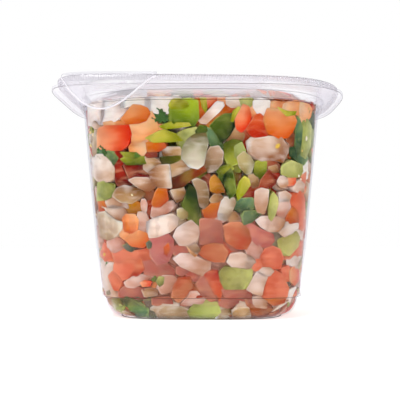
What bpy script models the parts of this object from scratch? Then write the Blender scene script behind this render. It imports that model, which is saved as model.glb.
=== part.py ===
"""A clear square deli tub filled with pico de gallo and shut with a clear snap-in lid.

Blender 4.5 script. Units are metres, +Z is up, and the origin is the middle of the tub's foot.
The front is the side that faces -Y. The lid's pull tab hangs at the front left corner.
"""

import math
import random

import bmesh
import bpy
from mathutils import Matrix, Vector

MM = 0.001

# Driving sizes of the tub
SHEET = 0.8 * MM            # wall of the formed sheet
RIM_HALF = 70.0 * MM        # half the overall width, at the flange
FLANGE_Z = 106.0 * MM       # underside of the flange
LIP_HEIGHT = 1.4 * MM       # rolled edge of the flange
SEAT_Z = 101.6 * MM         # ledge under the lid's plug
WALL_LOW_HALF = 49.5 * MM   # half width just above the stacking step
WALL_HIGH_HALF = 58.4 * MM  # half width just below the seat
STEP_Z = 10.6 * MM
STEP_IN = 1.7 * MM          # the foot is this much narrower than the wall
FOOT_HALF = 39.0 * MM
PANEL_RISE = 1.4 * MM       # the middle of the base stands off the table

# Driving sizes of the lid
LID_SHEET = 0.7 * MM
LID_HALF = 67.5 * MM
LID_FIT = 0.4 * MM          # gap between lid and tub
LID_TOP_Z = 110.3 * MM
LID_GROOVE_Z = 103.6 * MM   # floor of the plug groove
LID_PANEL_Z = 108.4 * MM
PANEL_EDGE_HALF = 49.3 * MM  # room for food under the panel, inside the plug
LID_LIFT = 1.6 * MM         # the left edge isn't pressed home
TAB_DROP = 14.6 * MM
TAB_FIRST_ANGLE = math.radians(-134.0)
TAB_LAST_ANGLE = math.radians(-105.5)
TAB_SKEW = 0.76             # moves the tab's lowest point towards the corner

# Driving sizes of the contents
FOOD_GAP = 0.8 * MM         # between food and plastic
FOOT_FOOD_GAP = 0.6 * MM    # more of it where the foot curves
FOOD_FLOOR_Z = 2.7 * MM
GROOVE_CEILING_Z = LID_GROOVE_Z - LID_SHEET - 1.2 * MM
FOOD_CEILING_Z = LID_PANEL_Z - LID_SHEET - 0.4 * MM
CORE_INSET = 3.6 * MM       # the bare core lies this far behind the pieces that show
ROW_PITCH = 13.2 * MM
PIECE_PITCH = 15.0 * MM
TOP_PITCH = 15.0 * MM
SEED = 21

OUTLINE_POINTS = 40
CORNER_CROWDING = 0.12      # moves the outline's points towards its corners
FOOT_POWER, STEP_POWER, WALL_POWER, SEAT_POWER, RIM_POWER = 3.6, 4.2, 3.8, 2.9, 3.5
TAB_CORNER_POWER = 3.2      # added to the rim's power at the corner with the tab, which is squarer
TAB_CORNER_ANGLE = math.radians(-135.0)
TAB_CORNER_SPREAD = 0.5


def clear_scene():
    for item in list(bpy.data.objects):
        bpy.data.objects.remove(item)


def new_collection(name):
    made = bpy.data.collections.new(name)
    bpy.context.scene.collection.children.link(made)
    return made


def new_material(name, colour, roughness, alpha=1.0):
    material = bpy.data.materials.new(name)
    material.use_nodes = True
    shader = material.node_tree.nodes["Principled BSDF"]
    shader.inputs["Base Color"].default_value = (*colour, 1.0)
    shader.inputs["Roughness"].default_value = roughness
    shader.inputs["Metallic"].default_value = 0.0
    shader.inputs["Alpha"].default_value = alpha
    return material


def corner_power(power, angle):
    """The rim's power in that direction: greater round the corner with the tab."""
    away = math.remainder(angle - TAB_CORNER_ANGLE, math.tau) / TAB_CORNER_SPREAD
    return power + TAB_CORNER_POWER * math.exp(-(away**4))


def squircle_point(half, power, angle):
    """The point of |x|^power + |y|^power = half^power in that direction from the middle."""
    c, s = math.cos(angle), math.sin(angle)
    reach = half / (abs(c) ** power + abs(s) ** power) ** (1 / power)
    return Vector((reach * c, reach * s))


def squircle_normal(half, power, point):
    """The outward direction of that outline at one of its points."""
    x, y = point.x / half, point.y / half
    grown = Vector((math.copysign(abs(x) ** (power - 1), x), math.copysign(abs(y) ** (power - 1), y)))
    return grown.normalized()


def loft(name, levels, close_first, close_last):
    """A surface through level outlines, each (half width, height, power), from the first to the last.

    A fourth value, if a level has one, says that the outline follows the squarer corner with the tab.
    """
    mesh = bmesh.new()
    rings = []
    for half, height, power, *at_rim in levels:
        ring = []
        for i in range(OUTLINE_POINTS):
            turn = math.tau * i / OUTLINE_POINTS
            turn += CORNER_CROWDING * math.sin(4 * turn)
            spot = squircle_point(half, corner_power(power, turn) if at_rim else power, turn)
            ring.append(mesh.verts.new((spot.x, spot.y, height)))
        rings.append(ring)
    for low, high in zip(rings, rings[1:]):
        for i in range(OUTLINE_POINTS):
            j = (i + 1) % OUTLINE_POINTS
            mesh.faces.new((low[i], low[j], high[j], high[i]))
    if close_first:
        mesh.faces.new(reversed(rings[0]))
    if close_last:
        mesh.faces.new(rings[-1])
    data = bpy.data.meshes.new(name)
    mesh.to_mesh(data)
    mesh.free()
    return bpy.data.objects.new(name, data)


def add_solidify(item, thickness, offset):
    shell = item.modifiers.new("wall", "SOLIDIFY")
    shell.thickness = thickness
    shell.offset = offset
    shell.use_even_offset = True


def freeze(item):
    """Replaces the object's mesh by what its modifiers make of it."""
    graph = bpy.context.evaluated_depsgraph_get()
    item.data = bpy.data.meshes.new_from_object(item.evaluated_get(graph))
    item.modifiers.clear()


def smooth(item, degrees=40):
    item.data.shade_smooth()
    item.data.set_sharp_from_angle(angle=math.radians(degrees))


def blend(low, high, share):
    return low + (high - low) * share


def wall_levels(first_height, last_height, count):
    """Evenly spaced levels of the tapered wall, as (half width, height, power)."""
    levels = []
    for i in range(count):
        height = blend(first_height, last_height, i / (count - 1))
        share = (height - STEP_Z) / (SEAT_Z - STEP_Z)
        levels.append((blend(WALL_LOW_HALF, WALL_HIGH_HALF, share), height, blend(STEP_POWER, WALL_POWER, share)))
    return levels


def foot_levels():
    """The rounded edge between the foot and the stacking step."""
    below_step = WALL_LOW_HALF - STEP_IN
    radius = below_step - FOOT_HALF
    levels = []
    for degrees in (0, 30, 60):
        turn = math.radians(degrees)
        half = FOOT_HALF + radius * math.sin(turn)
        height = (STEP_Z - 1.2 * MM) * (1 - math.cos(turn))
        levels.append((half, height, blend(FOOT_POWER, STEP_POWER, degrees / 90)))
    levels.append((below_step, STEP_Z - 0.6 * MM, STEP_POWER))
    return levels


def build_tub(material):
    """The formed tub: raised base panel, rounded foot, step, tapered wall, lid seat, flange and lip."""
    levels = [(29 * MM, PANEL_RISE, FOOT_POWER), (32 * MM, 0.0, FOOT_POWER)]
    levels += foot_levels()
    levels += wall_levels(STEP_Z, SEAT_Z - 0.5 * MM, 4)
    levels += [
        (WALL_HIGH_HALF + 2.3 * MM, SEAT_Z + 0.1 * MM, SEAT_POWER),
        (WALL_HIGH_HALF + 2.9 * MM, FLANGE_Z - 1.0 * MM, SEAT_POWER + 0.1),
        (WALL_HIGH_HALF + 4.2 * MM, FLANGE_Z - 0.2 * MM, SEAT_POWER + 0.3),
        (RIM_HALF - 1.6 * MM, FLANGE_Z, RIM_POWER, True),
        (RIM_HALF - 0.3 * MM, FLANGE_Z + 0.3 * LIP_HEIGHT, RIM_POWER, True),
        (RIM_HALF, FLANGE_Z + 0.7 * LIP_HEIGHT, RIM_POWER, True),
        (RIM_HALF, FLANGE_Z + LIP_HEIGHT, RIM_POWER, True),
    ]
    tub = loft("tub", levels, close_first=True, close_last=False)
    tub.data.materials.append(material)
    model.objects.link(tub)
    add_solidify(tub, SHEET, offset=-1)
    freeze(tub)
    smooth(tub)
    return tub


def build_tab():
    """The pull tab: it leaves the lid's rim, passes over the tub's lip and hangs down outside it.

    It is a strip along the rim's own outline, so it is worked out as rows across and columns along the rim.
    """
    mesh = bmesh.new()
    columns = 15
    grid = []
    for i in range(columns):
        across = i / (columns - 1)
        angle = blend(TAB_FIRST_ANGLE, TAB_LAST_ANGLE, across)
        power = corner_power(RIM_POWER, angle)
        edge = squircle_point(LID_HALF, power, angle)
        out = squircle_normal(LID_HALF, power, edge)
        drop = TAB_DROP * math.sin(math.pi * across**TAB_SKEW) ** 1.4
        rows = [
            (-2.0 * MM, LID_TOP_Z + 0.1 * MM),
            (0.9 * MM, LID_TOP_Z + 0.2 * MM),
            (2.2 * MM, LID_TOP_Z),
            (3.1 * MM, LID_TOP_Z - 0.8 * MM - 0.05 * drop),
            (3.3 * MM + 0.01 * drop, LID_TOP_Z - 1.4 * MM - 0.5 * drop),
            (3.4 * MM + 0.02 * drop, LID_TOP_Z - 1.9 * MM - drop),
        ]
        grid.append([mesh.verts.new((edge.x + out.x * d, edge.y + out.y * d, z)) for d, z in rows])
    for left, right in zip(grid, grid[1:]):
        for k in range(len(left) - 1):
            mesh.faces.new((left[k], left[k + 1], right[k + 1], right[k]))
    data = bpy.data.meshes.new("tab")
    mesh.to_mesh(data)
    mesh.free()
    return bpy.data.objects.new("tab", data)


def build_lid(material):
    """The lid: raised panel, plug groove that drops into the seat, rim, short skirt and pull tab, as one sheet."""
    levels = [
        (48.4 * MM, LID_PANEL_Z, SEAT_POWER),
        (50.2 * MM, LID_PANEL_Z - 0.7 * MM, SEAT_POWER),
        (52.2 * MM, LID_GROOVE_Z + 0.5 * MM, SEAT_POWER),
        (53.4 * MM, LID_GROOVE_Z, SEAT_POWER),
        (57.2 * MM, LID_GROOVE_Z, SEAT_POWER),
        (58.2 * MM, LID_GROOVE_Z + 1.0 * MM, SEAT_POWER),
        (58.9 * MM, LID_TOP_Z - 1.2 * MM, SEAT_POWER + 0.1),
        (60.1 * MM, LID_TOP_Z - 0.1 * MM, SEAT_POWER + 0.3),
        (LID_HALF - 1.6 * MM, LID_TOP_Z, RIM_POWER, True),
        (LID_HALF - 0.4 * MM, LID_TOP_Z - 0.5 * MM, RIM_POWER, True),
        (LID_HALF, FLANGE_Z + SHEET + LID_FIT, RIM_POWER, True),
    ]
    lid = loft("lid", levels, close_first=True, close_last=False)
    turn_faces_round(lid)
    model.objects.link(lid)
    add_solidify(lid, LID_SHEET, offset=-1)
    tab = build_tab()
    cutters.objects.link(tab)
    add_solidify(tab, LID_SHEET, offset=0)
    freeze(tab)
    freeze(lid)
    join = lid.modifiers.new("tab", "BOOLEAN")
    join.operation = "UNION"
    join.object = tab
    freeze(lid)
    bpy.data.objects.remove(tab)
    hinge_line = Matrix.Translation((LID_HALF, 0, LID_TOP_Z))
    tilt = Matrix.Rotation(math.asin(LID_LIFT / (2 * LID_HALF)), 4, "Y")
    lid.data.transform(hinge_line @ tilt @ hinge_line.inverted())
    lid.data.materials.clear()
    lid.data.materials.append(material)
    smooth(lid)
    return lid


def turn_faces_round(item):
    """Turns every face of an object round."""
    mesh = bmesh.new()
    mesh.from_mesh(item.data)
    bmesh.ops.reverse_faces(mesh, faces=mesh.faces)
    mesh.to_mesh(item.data)
    mesh.free()


def inner_half(height):
    """(half width, power) of the tub's inner face at that height."""
    if height < STEP_Z:
        below_step = WALL_LOW_HALF - STEP_IN
        radius = below_step - FOOT_HALF
        cosine = min(1, max(0, 1 - height / (STEP_Z - 1.2 * MM)))
        half = FOOT_HALF + radius * math.sqrt(1 - cosine * cosine)
        return half - SHEET - FOOT_FOOD_GAP, blend(FOOT_POWER, STEP_POWER, 1 - cosine)
    share = min(1, (height - STEP_Z) / (SEAT_Z - STEP_Z))
    half = blend(WALL_LOW_HALF, WALL_HIGH_HALF, share) - SHEET
    return half, blend(STEP_POWER, WALL_POWER, share)


def heap_top(x, y):
    """How high the contents reach: up under the lid's panel, and lower in the front left corner."""
    corner = Vector((x + 46 * MM, y + 52 * MM)).length / (34 * MM)
    return 102.0 * MM - 8.0 * MM * math.exp(-corner * corner)


def hold_inside(spot, gap):
    """The spot, moved if need be to where food may be: within the wall, over the base and below the lid."""
    x, y, z = spot
    z = min(max(z, FOOD_FLOOR_Z + gap - FOOD_GAP), FOOD_CEILING_Z - gap)
    half, power = inner_half(z)
    half -= gap
    if z > GROOVE_CEILING_Z:
        half = PANEL_EDGE_HALF - gap
        power = SEAT_POWER
    reach = (abs(x) ** power + abs(y) ** power) ** (1 / power)
    if reach > half:
        x *= half / reach
        y *= half / reach
    return Vector((x, y, z))


def food_core():
    """The bare core that carries the pieces, a few millimetres behind them."""
    levels = [(FOOT_HALF - 1.2 * MM, FOOD_FLOOR_Z, FOOT_POWER)]
    for half, height, power in wall_levels(STEP_Z, 88 * MM, 3):
        levels.append((half - SHEET - FOOD_GAP - CORE_INSET, height, power))
    levels.append((45 * MM, 96.5 * MM, SEAT_POWER))
    return loft("pico_de_gallo", levels, close_first=True, close_last=True)


# The kinds of piece, each as length, width and thickness in millimetres, taper of its outer face, and share
DICE = (
    ("onion", (11.5, 10.0, 7.5), 0.90, 0.36),
    ("tomato", (14.0, 12.0, 9.0), 0.80, 0.34),
    ("pepper", (11.0, 9.5, 7.0), 0.95, 0.18),
    ("pepper_strip", (14.5, 5.5, 7.0), 0.85, 0.12),
)


def add_piece(draw, spot, outward, lean):
    """One diced piece: a block whose outer face is a little smaller, turned at random about its outward axis."""
    kind = draw.choices(DICE, weights=[share for *_, share in DICE])[0]
    _, (length, width, thickness), taper, _ = kind
    size = draw.uniform(0.85, 1.15) * MM
    mesh = bmesh.new()
    bmesh.ops.create_cube(mesh, size=1.0)
    for vert in mesh.verts:
        if vert.co.z > 0:
            vert.co.x *= taper
            vert.co.y *= taper * draw.uniform(0.85, 1.0)
    turn = outward.to_track_quat("Z", "Y").to_matrix().to_4x4()
    spin = Matrix.Rotation(draw.uniform(0, math.tau), 4, "Z")
    tip = Matrix.Rotation(draw.gauss(0, lean), 4, "X") @ Matrix.Rotation(draw.gauss(0, lean), 4, "Y")
    scale = Matrix.Diagonal((length * size, width * size, thickness * size, 1))
    mesh.transform(Matrix.Translation(spot) @ turn @ tip @ spin @ scale)
    gap = FOOD_GAP + draw.uniform(0, 0.6) * MM
    for vert in mesh.verts:
        vert.co = hold_inside(vert.co, gap)
    data = bpy.data.meshes.new("piece")
    mesh.to_mesh(data)
    mesh.free()
    pieces.objects.link(bpy.data.objects.new("piece", data))


def add_wall_pieces(draw):
    """Rows of pieces pressed against the tub's wall, each row set off from the one below."""
    rows = int((SEAT_Z - 8 * MM) / ROW_PITCH)
    for row in range(rows):
        height = 8 * MM + row * ROW_PITCH
        half, power = inner_half(height)
        count = round(7.4 * half / PIECE_PITCH)
        for i in range(count):
            angle = math.tau * (i + 0.5 * (row % 2) + draw.uniform(-0.15, 0.15)) / count
            edge = squircle_point(half, power, angle)
            out = squircle_normal(half, power, edge)
            z = height + draw.uniform(-0.12, 0.12) * ROW_PITCH
            if z + 3 * MM > heap_top(edge.x, edge.y):
                continue
            inset = draw.uniform(2.6, 4.2) * MM
            add_piece(draw, Vector((edge.x - out.x * inset, edge.y - out.y * inset, z)), out.to_3d(), 0.12)


def add_top_pieces(draw):
    """The loose top of the heap, under the lid's raised panel."""
    reach = int(44 * MM / TOP_PITCH)
    for i in range(-reach, reach + 1):
        for j in range(-reach, reach + 1):
            x = (i + draw.uniform(-0.2, 0.2)) * TOP_PITCH
            y = (j + draw.uniform(-0.2, 0.2)) * TOP_PITCH
            z = min(heap_top(x, y), 99.5 * MM) + draw.uniform(-2.0, 2.0) * MM
            up = Vector((draw.gauss(0, 0.4), draw.gauss(0, 0.4), 1)).normalized()
            add_piece(draw, Vector((x, y, z)), up, 0.15)


def keep_largest_shell(item):
    """Drops sealed hollows and loose scraps that the union leaves."""
    mesh = bmesh.new()
    mesh.from_mesh(item.data)
    mesh.faces.ensure_lookup_table()
    unseen = set(mesh.faces)
    shells = []
    while unseen:
        front = [unseen.pop()]
        shell = []
        while front:
            face = front.pop()
            shell.append(face)
            for edge in face.edges:
                for other in edge.link_faces:
                    if other in unseen:
                        unseen.remove(other)
                        front.append(other)
        shells.append(shell)
    shells.sort(key=len, reverse=True)
    scraps = [face for shell in shells[1:] for face in shell]
    bmesh.ops.delete(mesh, geom=scraps, context="FACES")
    bmesh.ops.triangulate(mesh, faces=mesh.faces)
    mesh.to_mesh(item.data)
    mesh.free()


def build_food(material):
    """The contents as one heap: a core with the pieces that show fused on, pressed flat against the wall."""
    draw = random.Random(SEED)
    add_wall_pieces(draw)
    add_top_pieces(draw)
    food = food_core()
    model.objects.link(food)
    fuse = food.modifiers.new("fuse", "BOOLEAN")
    fuse.operation = "UNION"
    fuse.operand_type = "COLLECTION"
    fuse.collection = pieces
    fuse.solver = "MANIFOLD"
    freeze(food)
    for item in list(pieces.objects):
        bpy.data.objects.remove(item)
    keep_largest_shell(food)
    food.data.materials.clear()
    food.data.materials.append(material)
    return food


clear_scene()
model = new_collection("pico_de_gallo_tub")
cutters = new_collection("helpers")
pieces = new_collection("pieces")
build_tub(new_material("clear_tub", (0.93, 0.94, 0.95), 0.06, 0.25))
build_lid(new_material("clear_lid", (0.93, 0.94, 0.95), 0.08, 0.25))
build_food(new_material("diced_vegetables", (0.72, 0.42, 0.28), 0.4))
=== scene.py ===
# %% [markdown]
# # A clear tub of pico de gallo
#
# The real thing is a square deli tub, formed from one clear plastic sheet, shut with a clear lid and
# packed with diced tomato, white onion, green pepper and coriander. Nearly everything that is seen is
# seen through the wall, so this lesson is about three things: a thin clear sheet that costs little to
# render, hundreds of small cut pieces pressed flat against it, and the pink juice between them.
#
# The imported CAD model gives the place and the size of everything. It is loaded first, and its box is
# kept, because the finished picture model has to stay inside it.

# %% Load the frame
import math
import random

import bpy
import numpy as np
from mathutils import Matrix, Vector


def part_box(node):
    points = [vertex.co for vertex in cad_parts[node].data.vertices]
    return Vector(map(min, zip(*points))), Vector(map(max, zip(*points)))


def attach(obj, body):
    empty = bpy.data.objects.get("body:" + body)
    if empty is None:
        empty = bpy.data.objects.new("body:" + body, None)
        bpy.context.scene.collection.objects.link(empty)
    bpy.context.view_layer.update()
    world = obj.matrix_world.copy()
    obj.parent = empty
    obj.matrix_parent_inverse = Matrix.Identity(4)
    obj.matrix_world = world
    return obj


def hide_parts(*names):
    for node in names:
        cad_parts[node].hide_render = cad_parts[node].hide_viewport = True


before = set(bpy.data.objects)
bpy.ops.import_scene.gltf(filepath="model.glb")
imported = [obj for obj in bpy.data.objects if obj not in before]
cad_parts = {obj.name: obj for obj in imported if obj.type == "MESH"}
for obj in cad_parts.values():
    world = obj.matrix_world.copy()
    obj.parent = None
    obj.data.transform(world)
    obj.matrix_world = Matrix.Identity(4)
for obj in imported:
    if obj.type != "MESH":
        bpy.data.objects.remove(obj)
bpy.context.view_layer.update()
MM = 0.001
tub_low, tub_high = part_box("tub")
_, lid_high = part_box("lid")
print("tub box", tub_low, tub_high)

# %% [markdown]
# ## The camera
#
# The photograph was taken from just above the table with a long lens: the underside of the flange
# shows, and the lid's top doesn't. Matching the outlines of the lid, the flange, the wall and the foot
# gives a focal length of 857 pixels on the 400 pixel wide picture, a camera 445 mm from the tub's axis
# and 38 mm above the table, and a pitch of 2.6 degrees upwards.

# %% Place the camera
PHOTO_WIDTH = 400
FOCAL_PIXELS = 857.5
CAMERA_DISTANCE = 444.6 * MM
CAMERA_HEIGHT = 37.8 * MM
CAMERA_ROUND = 0.0196
CAMERA_PAN = 0.0022
CAMERA_PITCH = 0.0454


def put_in_scene(name, data):
    """An object that holds the data, in the scene."""
    placed = bpy.data.objects.new(name, data)
    bpy.context.scene.collection.objects.link(placed)
    return placed


camera_data = bpy.data.cameras.new("camera")
camera_data.lens = camera_data.sensor_width * FOCAL_PIXELS / PHOTO_WIDTH
camera = put_in_scene("camera", camera_data)
camera.location = (
    CAMERA_DISTANCE * math.sin(CAMERA_ROUND),
    -CAMERA_DISTANCE * math.cos(CAMERA_ROUND),
    CAMERA_HEIGHT,
)
camera.rotation_euler = (math.pi / 2 + CAMERA_PITCH, 0, CAMERA_ROUND + CAMERA_PAN)
bpy.context.scene.camera = camera
bpy.context.view_layer.update()
print("camera lens", round(camera_data.lens, 1), "mm")


def photo_ray(column, row):
    """The start and the direction of the line of sight through a pixel of the photograph."""
    across = (column - PHOTO_WIDTH / 2) / FOCAL_PIXELS
    down = (row - PHOTO_WIDTH / 2) / FOCAL_PIXELS
    turn = camera.matrix_world.to_3x3()
    return camera.matrix_world.translation.copy(), (turn @ Vector((across, -down, -1))).normalized()


# %% [markdown]
# ## Shader arithmetic
#
# A material is easier to read as a formula than as a list of nodes. A `Wire` holds one output socket,
# and adding, multiplying or raising wires adds the Math node for it. A `Recipe` is a material being put
# together, and its `add` makes every other kind of node.

# %% Wires and recipes


class Wire:
    """One output socket, used in Python arithmetic."""

    def __init__(self, tree, socket):
        self.tree = tree
        self.socket = socket

    def maths(self, operation, first, second):
        node = self.tree.nodes.new("ShaderNodeMath")
        node.operation = operation
        plug(self.tree, node.inputs[0], first)
        plug(self.tree, node.inputs[1], second)
        return Wire(self.tree, node.outputs[0])

    def __add__(self, other):
        return self.maths("ADD", self, other)

    def __mul__(self, other):
        return self.maths("MULTIPLY", self, other)

    def __pow__(self, other):
        return self.maths("POWER", self, other)


def plug(tree, socket, value):
    """Gives an input socket a wire or a plain value."""
    if isinstance(value, Wire):
        tree.links.new(value.socket, socket)
    else:
        socket.default_value = value


class Recipe:
    """A material while it is being put together."""

    def __init__(self, name):
        self.material = bpy.data.materials.new(name)
        self.material.use_nodes = True
        self.tree = self.material.node_tree
        self.tree.nodes.clear()

    def add(self, kind, settings=None, output=0, inputs=None):
        """Any node: its settings are set first, then its sockets by name or number."""
        node = self.tree.nodes.new(kind)
        for name, value in (settings or {}).items():
            setattr(node, name, value)
        for name, value in (inputs or {}).items():
            plug(self.tree, node.inputs[name], value)
        return Wire(self.tree, node.outputs[output])

    def ramp(self, factor, stops):
        """A colour ramp with (position, colour) stops."""
        wire = self.add("ShaderNodeValToRGB", inputs={0: factor})
        elements = wire.socket.node.color_ramp.elements
        while len(elements) < len(stops):
            elements.new(0.5)
        for element, (position, colour) in zip(elements, stops):
            element.position = position
            element.color = (*colour, 1)
        return wire

    def blend(self, factor, low, high):
        """A mix of two colours."""
        settings = {"data_type": "RGBA", "blend_type": "MIX", "clamp_factor": True}
        return self.add("ShaderNodeMix", settings, 2, {0: factor, 6: low, 7: high})

    def noise(self, place, scale, detail):
        """Soft random patches, from 0 to 1."""
        return self.add("ShaderNodeTexNoise", inputs={"Vector": place, "Scale": scale, "Detail": detail})

    def stretch_out(self, value, low, high):
        """Spreads the part of a value between low and high over 0 to 1."""
        return self.add("ShaderNodeMapRange", inputs={"Value": value, "From Min": low, "From Max": high})

    def mix_shaders(self, share, first, second):
        """A mix of two shaders, with that share of the second."""
        return self.add("ShaderNodeMixShader", inputs={0: share, 1: first, 2: second})

    def object_place(self):
        """The place in the object's own coordinates."""
        return self.add("ShaderNodeTexCoord", output=3)

    def finish(self, surface):
        """The material, with that shader on its surface."""
        output = self.tree.nodes.new("ShaderNodeOutputMaterial")
        plug(self.tree, output.inputs["Surface"], surface)
        return self.material


# %% [markdown]
# ## The shape of the tub
#
# Seen from above, the tub is neither a square nor a circle. It is a superellipse, |x|^p + |y|^p = h^p,
# which makers of formed packs like because it is stiff and leaves the mould easily. A larger p gives
# squarer corners. The wall is squarest at the step and rounder at the lid's seat, and the flange is
# squarer again, most of all at the corner with the pull tab. So each height has its own half width and
# its own power.

# %% Superellipse helpers
SHEET = 0.8 * MM
RIM_HALF = tub_high[0]
FLANGE_Z = 106.0 * MM
LIP_HEIGHT = tub_high[2] - FLANGE_Z
SEAT_Z = 101.6 * MM
WALL_LOW_HALF = 49.5 * MM
WALL_HIGH_HALF = 58.4 * MM
STEP_Z = 10.6 * MM
STEP_IN = 1.7 * MM
BELOW_STEP_HALF = WALL_LOW_HALF - STEP_IN
FOOT_HALF = 39.0 * MM
FOOT_TOP_Z = STEP_Z - 1.2 * MM
PANEL_RISE = 1.4 * MM
FOOT_POWER, STEP_POWER, WALL_POWER, SEAT_POWER, RIM_POWER = 3.6, 4.2, 3.8, 2.9, 3.5
# How points crowd towards the corners, and how many there are round a shell, a bead and the lid's ribs
CORNER_CROWDING = 0.12
SHELL_SIDES, BEAD_SIDES, RIB_PATH_SIDES = 120, 240, 360
TAB_CORNER_POWER = 3.2
TAB_CORNER_ANGLE = math.radians(-135)
TAB_CORNER_SPREAD = 0.5


def mix(low, high, share):
    """The value that share of the way from low to high."""
    return low + (high - low) * share


def corner_power(power, angle):
    """The rim's power in that direction: the corner with the pull tab is squarer than the others."""
    away = math.remainder(angle - TAB_CORNER_ANGLE, math.tau) / TAB_CORNER_SPREAD
    return power + TAB_CORNER_POWER * math.exp(-(away**4))


def squircle(half, power, angle):
    """The outline's point in that direction from the middle."""
    cosine, sine = math.cos(angle), math.sin(angle)
    reach = half / (abs(cosine) ** power + abs(sine) ** power) ** (1 / power)
    return reach * cosine, reach * sine


def squircle_out(power, x, y):
    """The outline's outward direction at one of its points."""
    across = math.copysign(abs(x) ** (power - 1), x)
    along = math.copysign(abs(y) ** (power - 1), y)
    return Vector((across, along, 0)).normalized()


def loft(levels, sides, close_first=False, close_last=False):
    """A mesh through outlines, each (half width, height, power, share of the squarer tab corner)."""
    verts, faces = [], []
    for half, height, power, squarer in levels:
        for i in range(sides):
            turn = math.tau * i / sides
            turn += CORNER_CROWDING * math.sin(4 * turn)
            x, y = squircle(half, mix(power, corner_power(power, turn), squarer), turn)
            verts.append((x, y, height))
    for k in range(len(levels) - 1):
        for i in range(sides):
            j = (i + 1) % sides
            faces.append((k * sides + i, k * sides + j, (k + 1) * sides + j, (k + 1) * sides + i))
    if close_first:
        faces.append(tuple(reversed(range(sides))))
    if close_last:
        faces.append(tuple(range((len(levels) - 1) * sides, len(levels) * sides)))
    return verts, faces


def new_piece(name, verts, faces, material, smooth_angle=40):
    """A mesh object at the origin, smooth up to that angle between faces."""
    mesh = bpy.data.meshes.new(name)
    mesh.from_pydata([tuple(v) for v in verts], [], faces)
    mesh.update()
    mesh.shade_smooth()
    mesh.set_sharp_from_angle(angle=math.radians(smooth_angle))
    mesh.materials.append(material)
    return put_in_scene(name, mesh)


def freeze(piece):
    """Replaces the piece's mesh by what its modifiers make of it."""
    graph = bpy.context.evaluated_depsgraph_get()
    piece.data = bpy.data.meshes.new_from_object(piece.evaluated_get(graph))
    piece.modifiers.clear()


def thicken(piece, thickness, offset=-1):
    """Gives an open sheet its thickness."""
    shell = piece.modifiers.new("sheet", "SOLIDIFY")
    shell.thickness = thickness
    shell.offset = offset
    shell.use_even_offset = True
    freeze(piece)


def soften(levels):
    """Cuts the corners of a run of levels, so that each bend becomes a small radius."""
    softened = [levels[0]]
    for low, high in zip(levels, levels[1:]):
        softened.append(tuple(mix(a, b, 0.25) for a, b in zip(low, high)))
        softened.append(tuple(mix(a, b, 0.75) for a, b in zip(low, high)))
    return softened + [levels[-1]]


def plain(levels):
    """Levels that take no part in the squarer tab corner."""
    return [(*level, 0.0) for level in levels]


def rim(levels):
    """Levels that follow the squarer tab corner."""
    return [(half, height, RIM_POWER, 1.0) for half, height in levels]


def between(low, high, count):
    """Levels that divide the way between two levels evenly, without the two."""
    shares = [i / (count + 1) for i in range(1, count + 1)]
    return [tuple(mix(a, b, share) for a, b in zip(low, high)) for share in shares]


def tube(name, points, radius, material, closed=False):
    """A round rod along a path, capped at both ends or closed to a ring."""
    curve = bpy.data.curves.new(name, "CURVE")
    curve.dimensions = "3D"
    curve.bevel_depth = radius
    curve.bevel_resolution = 2
    curve.use_fill_caps = True
    spline = curve.splines.new("POLY")
    spline.points.add(len(points) - 1)
    spline.use_cyclic_u = closed
    for point, spot in zip(spline.points, points):
        point.co = (*spot, 1)
    path = put_in_scene(name, curve)
    graph = bpy.context.evaluated_depsgraph_get()
    mesh = bpy.data.meshes.new_from_object(path.evaluated_get(graph))
    bpy.data.objects.remove(path)
    mesh.shade_smooth()
    mesh.materials.clear()
    mesh.materials.append(material)
    return put_in_scene(name, mesh)


def ring_line(name, half, height, power, squarer, radius, material):
    """A thin bead right round the tub or the lid."""
    spots = []
    for i in range(BEAD_SIDES):
        turn = math.tau * i / BEAD_SIDES
        spots.append((*squircle(half, mix(power, corner_power(power, turn), squarer), turn), height))
    return tube(name, spots, radius, material, closed=True)


# %% [markdown]
# ## Clear plastic
#
# The tub's sheet is 0.8 mm thick. Real refraction through two faces of such a sheet hardly bends what
# lies behind it, but it would make Cycles trace caustics to light the food. A thin clear sheet can be
# had more cheaply: a Transparent shader mixed with a Glossy one. The share of gloss is Schlick's
# formula, r + (1 - r) (1 - cos)^5, and Layer Weight's Facing output is that 1 - cos. It is used in
# place of the Fresnel node because that one treats the back of the sheet as the inside of a solid. The
# share straight on is kept below the real 0.04, since wet food touches the sheet's inner face and
# leaves nothing there to reflect. The share at a slant is held down too, so that the food still shows
# through the rounded corners.
#
# Where the tub and the lid grip each other, several sheets, fine ribs and tight bends lie behind one
# another, and the photograph shows a pale veil there. A share of plain white in the mix makes it, above
# a given height and beyond a given reach. A tight bend also sends the light aside, so that it shows as
# a thin dark line. Those lines are beads of a greyer clear material, at most half a millimetre thick.

# %% The clear sheet
STRAIGHT_REFLECTION = 0.003
GLOSS_COLOUR = (0.9, 0.9, 0.93, 1)
VEIL_COLOUR = (0.89, 0.86, 0.91, 1)
# How gently a veil begins, upwards and outwards
VEIL_FADE_UP, VEIL_FADE_OUT = 0.4 * MM, 1 * MM


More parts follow.
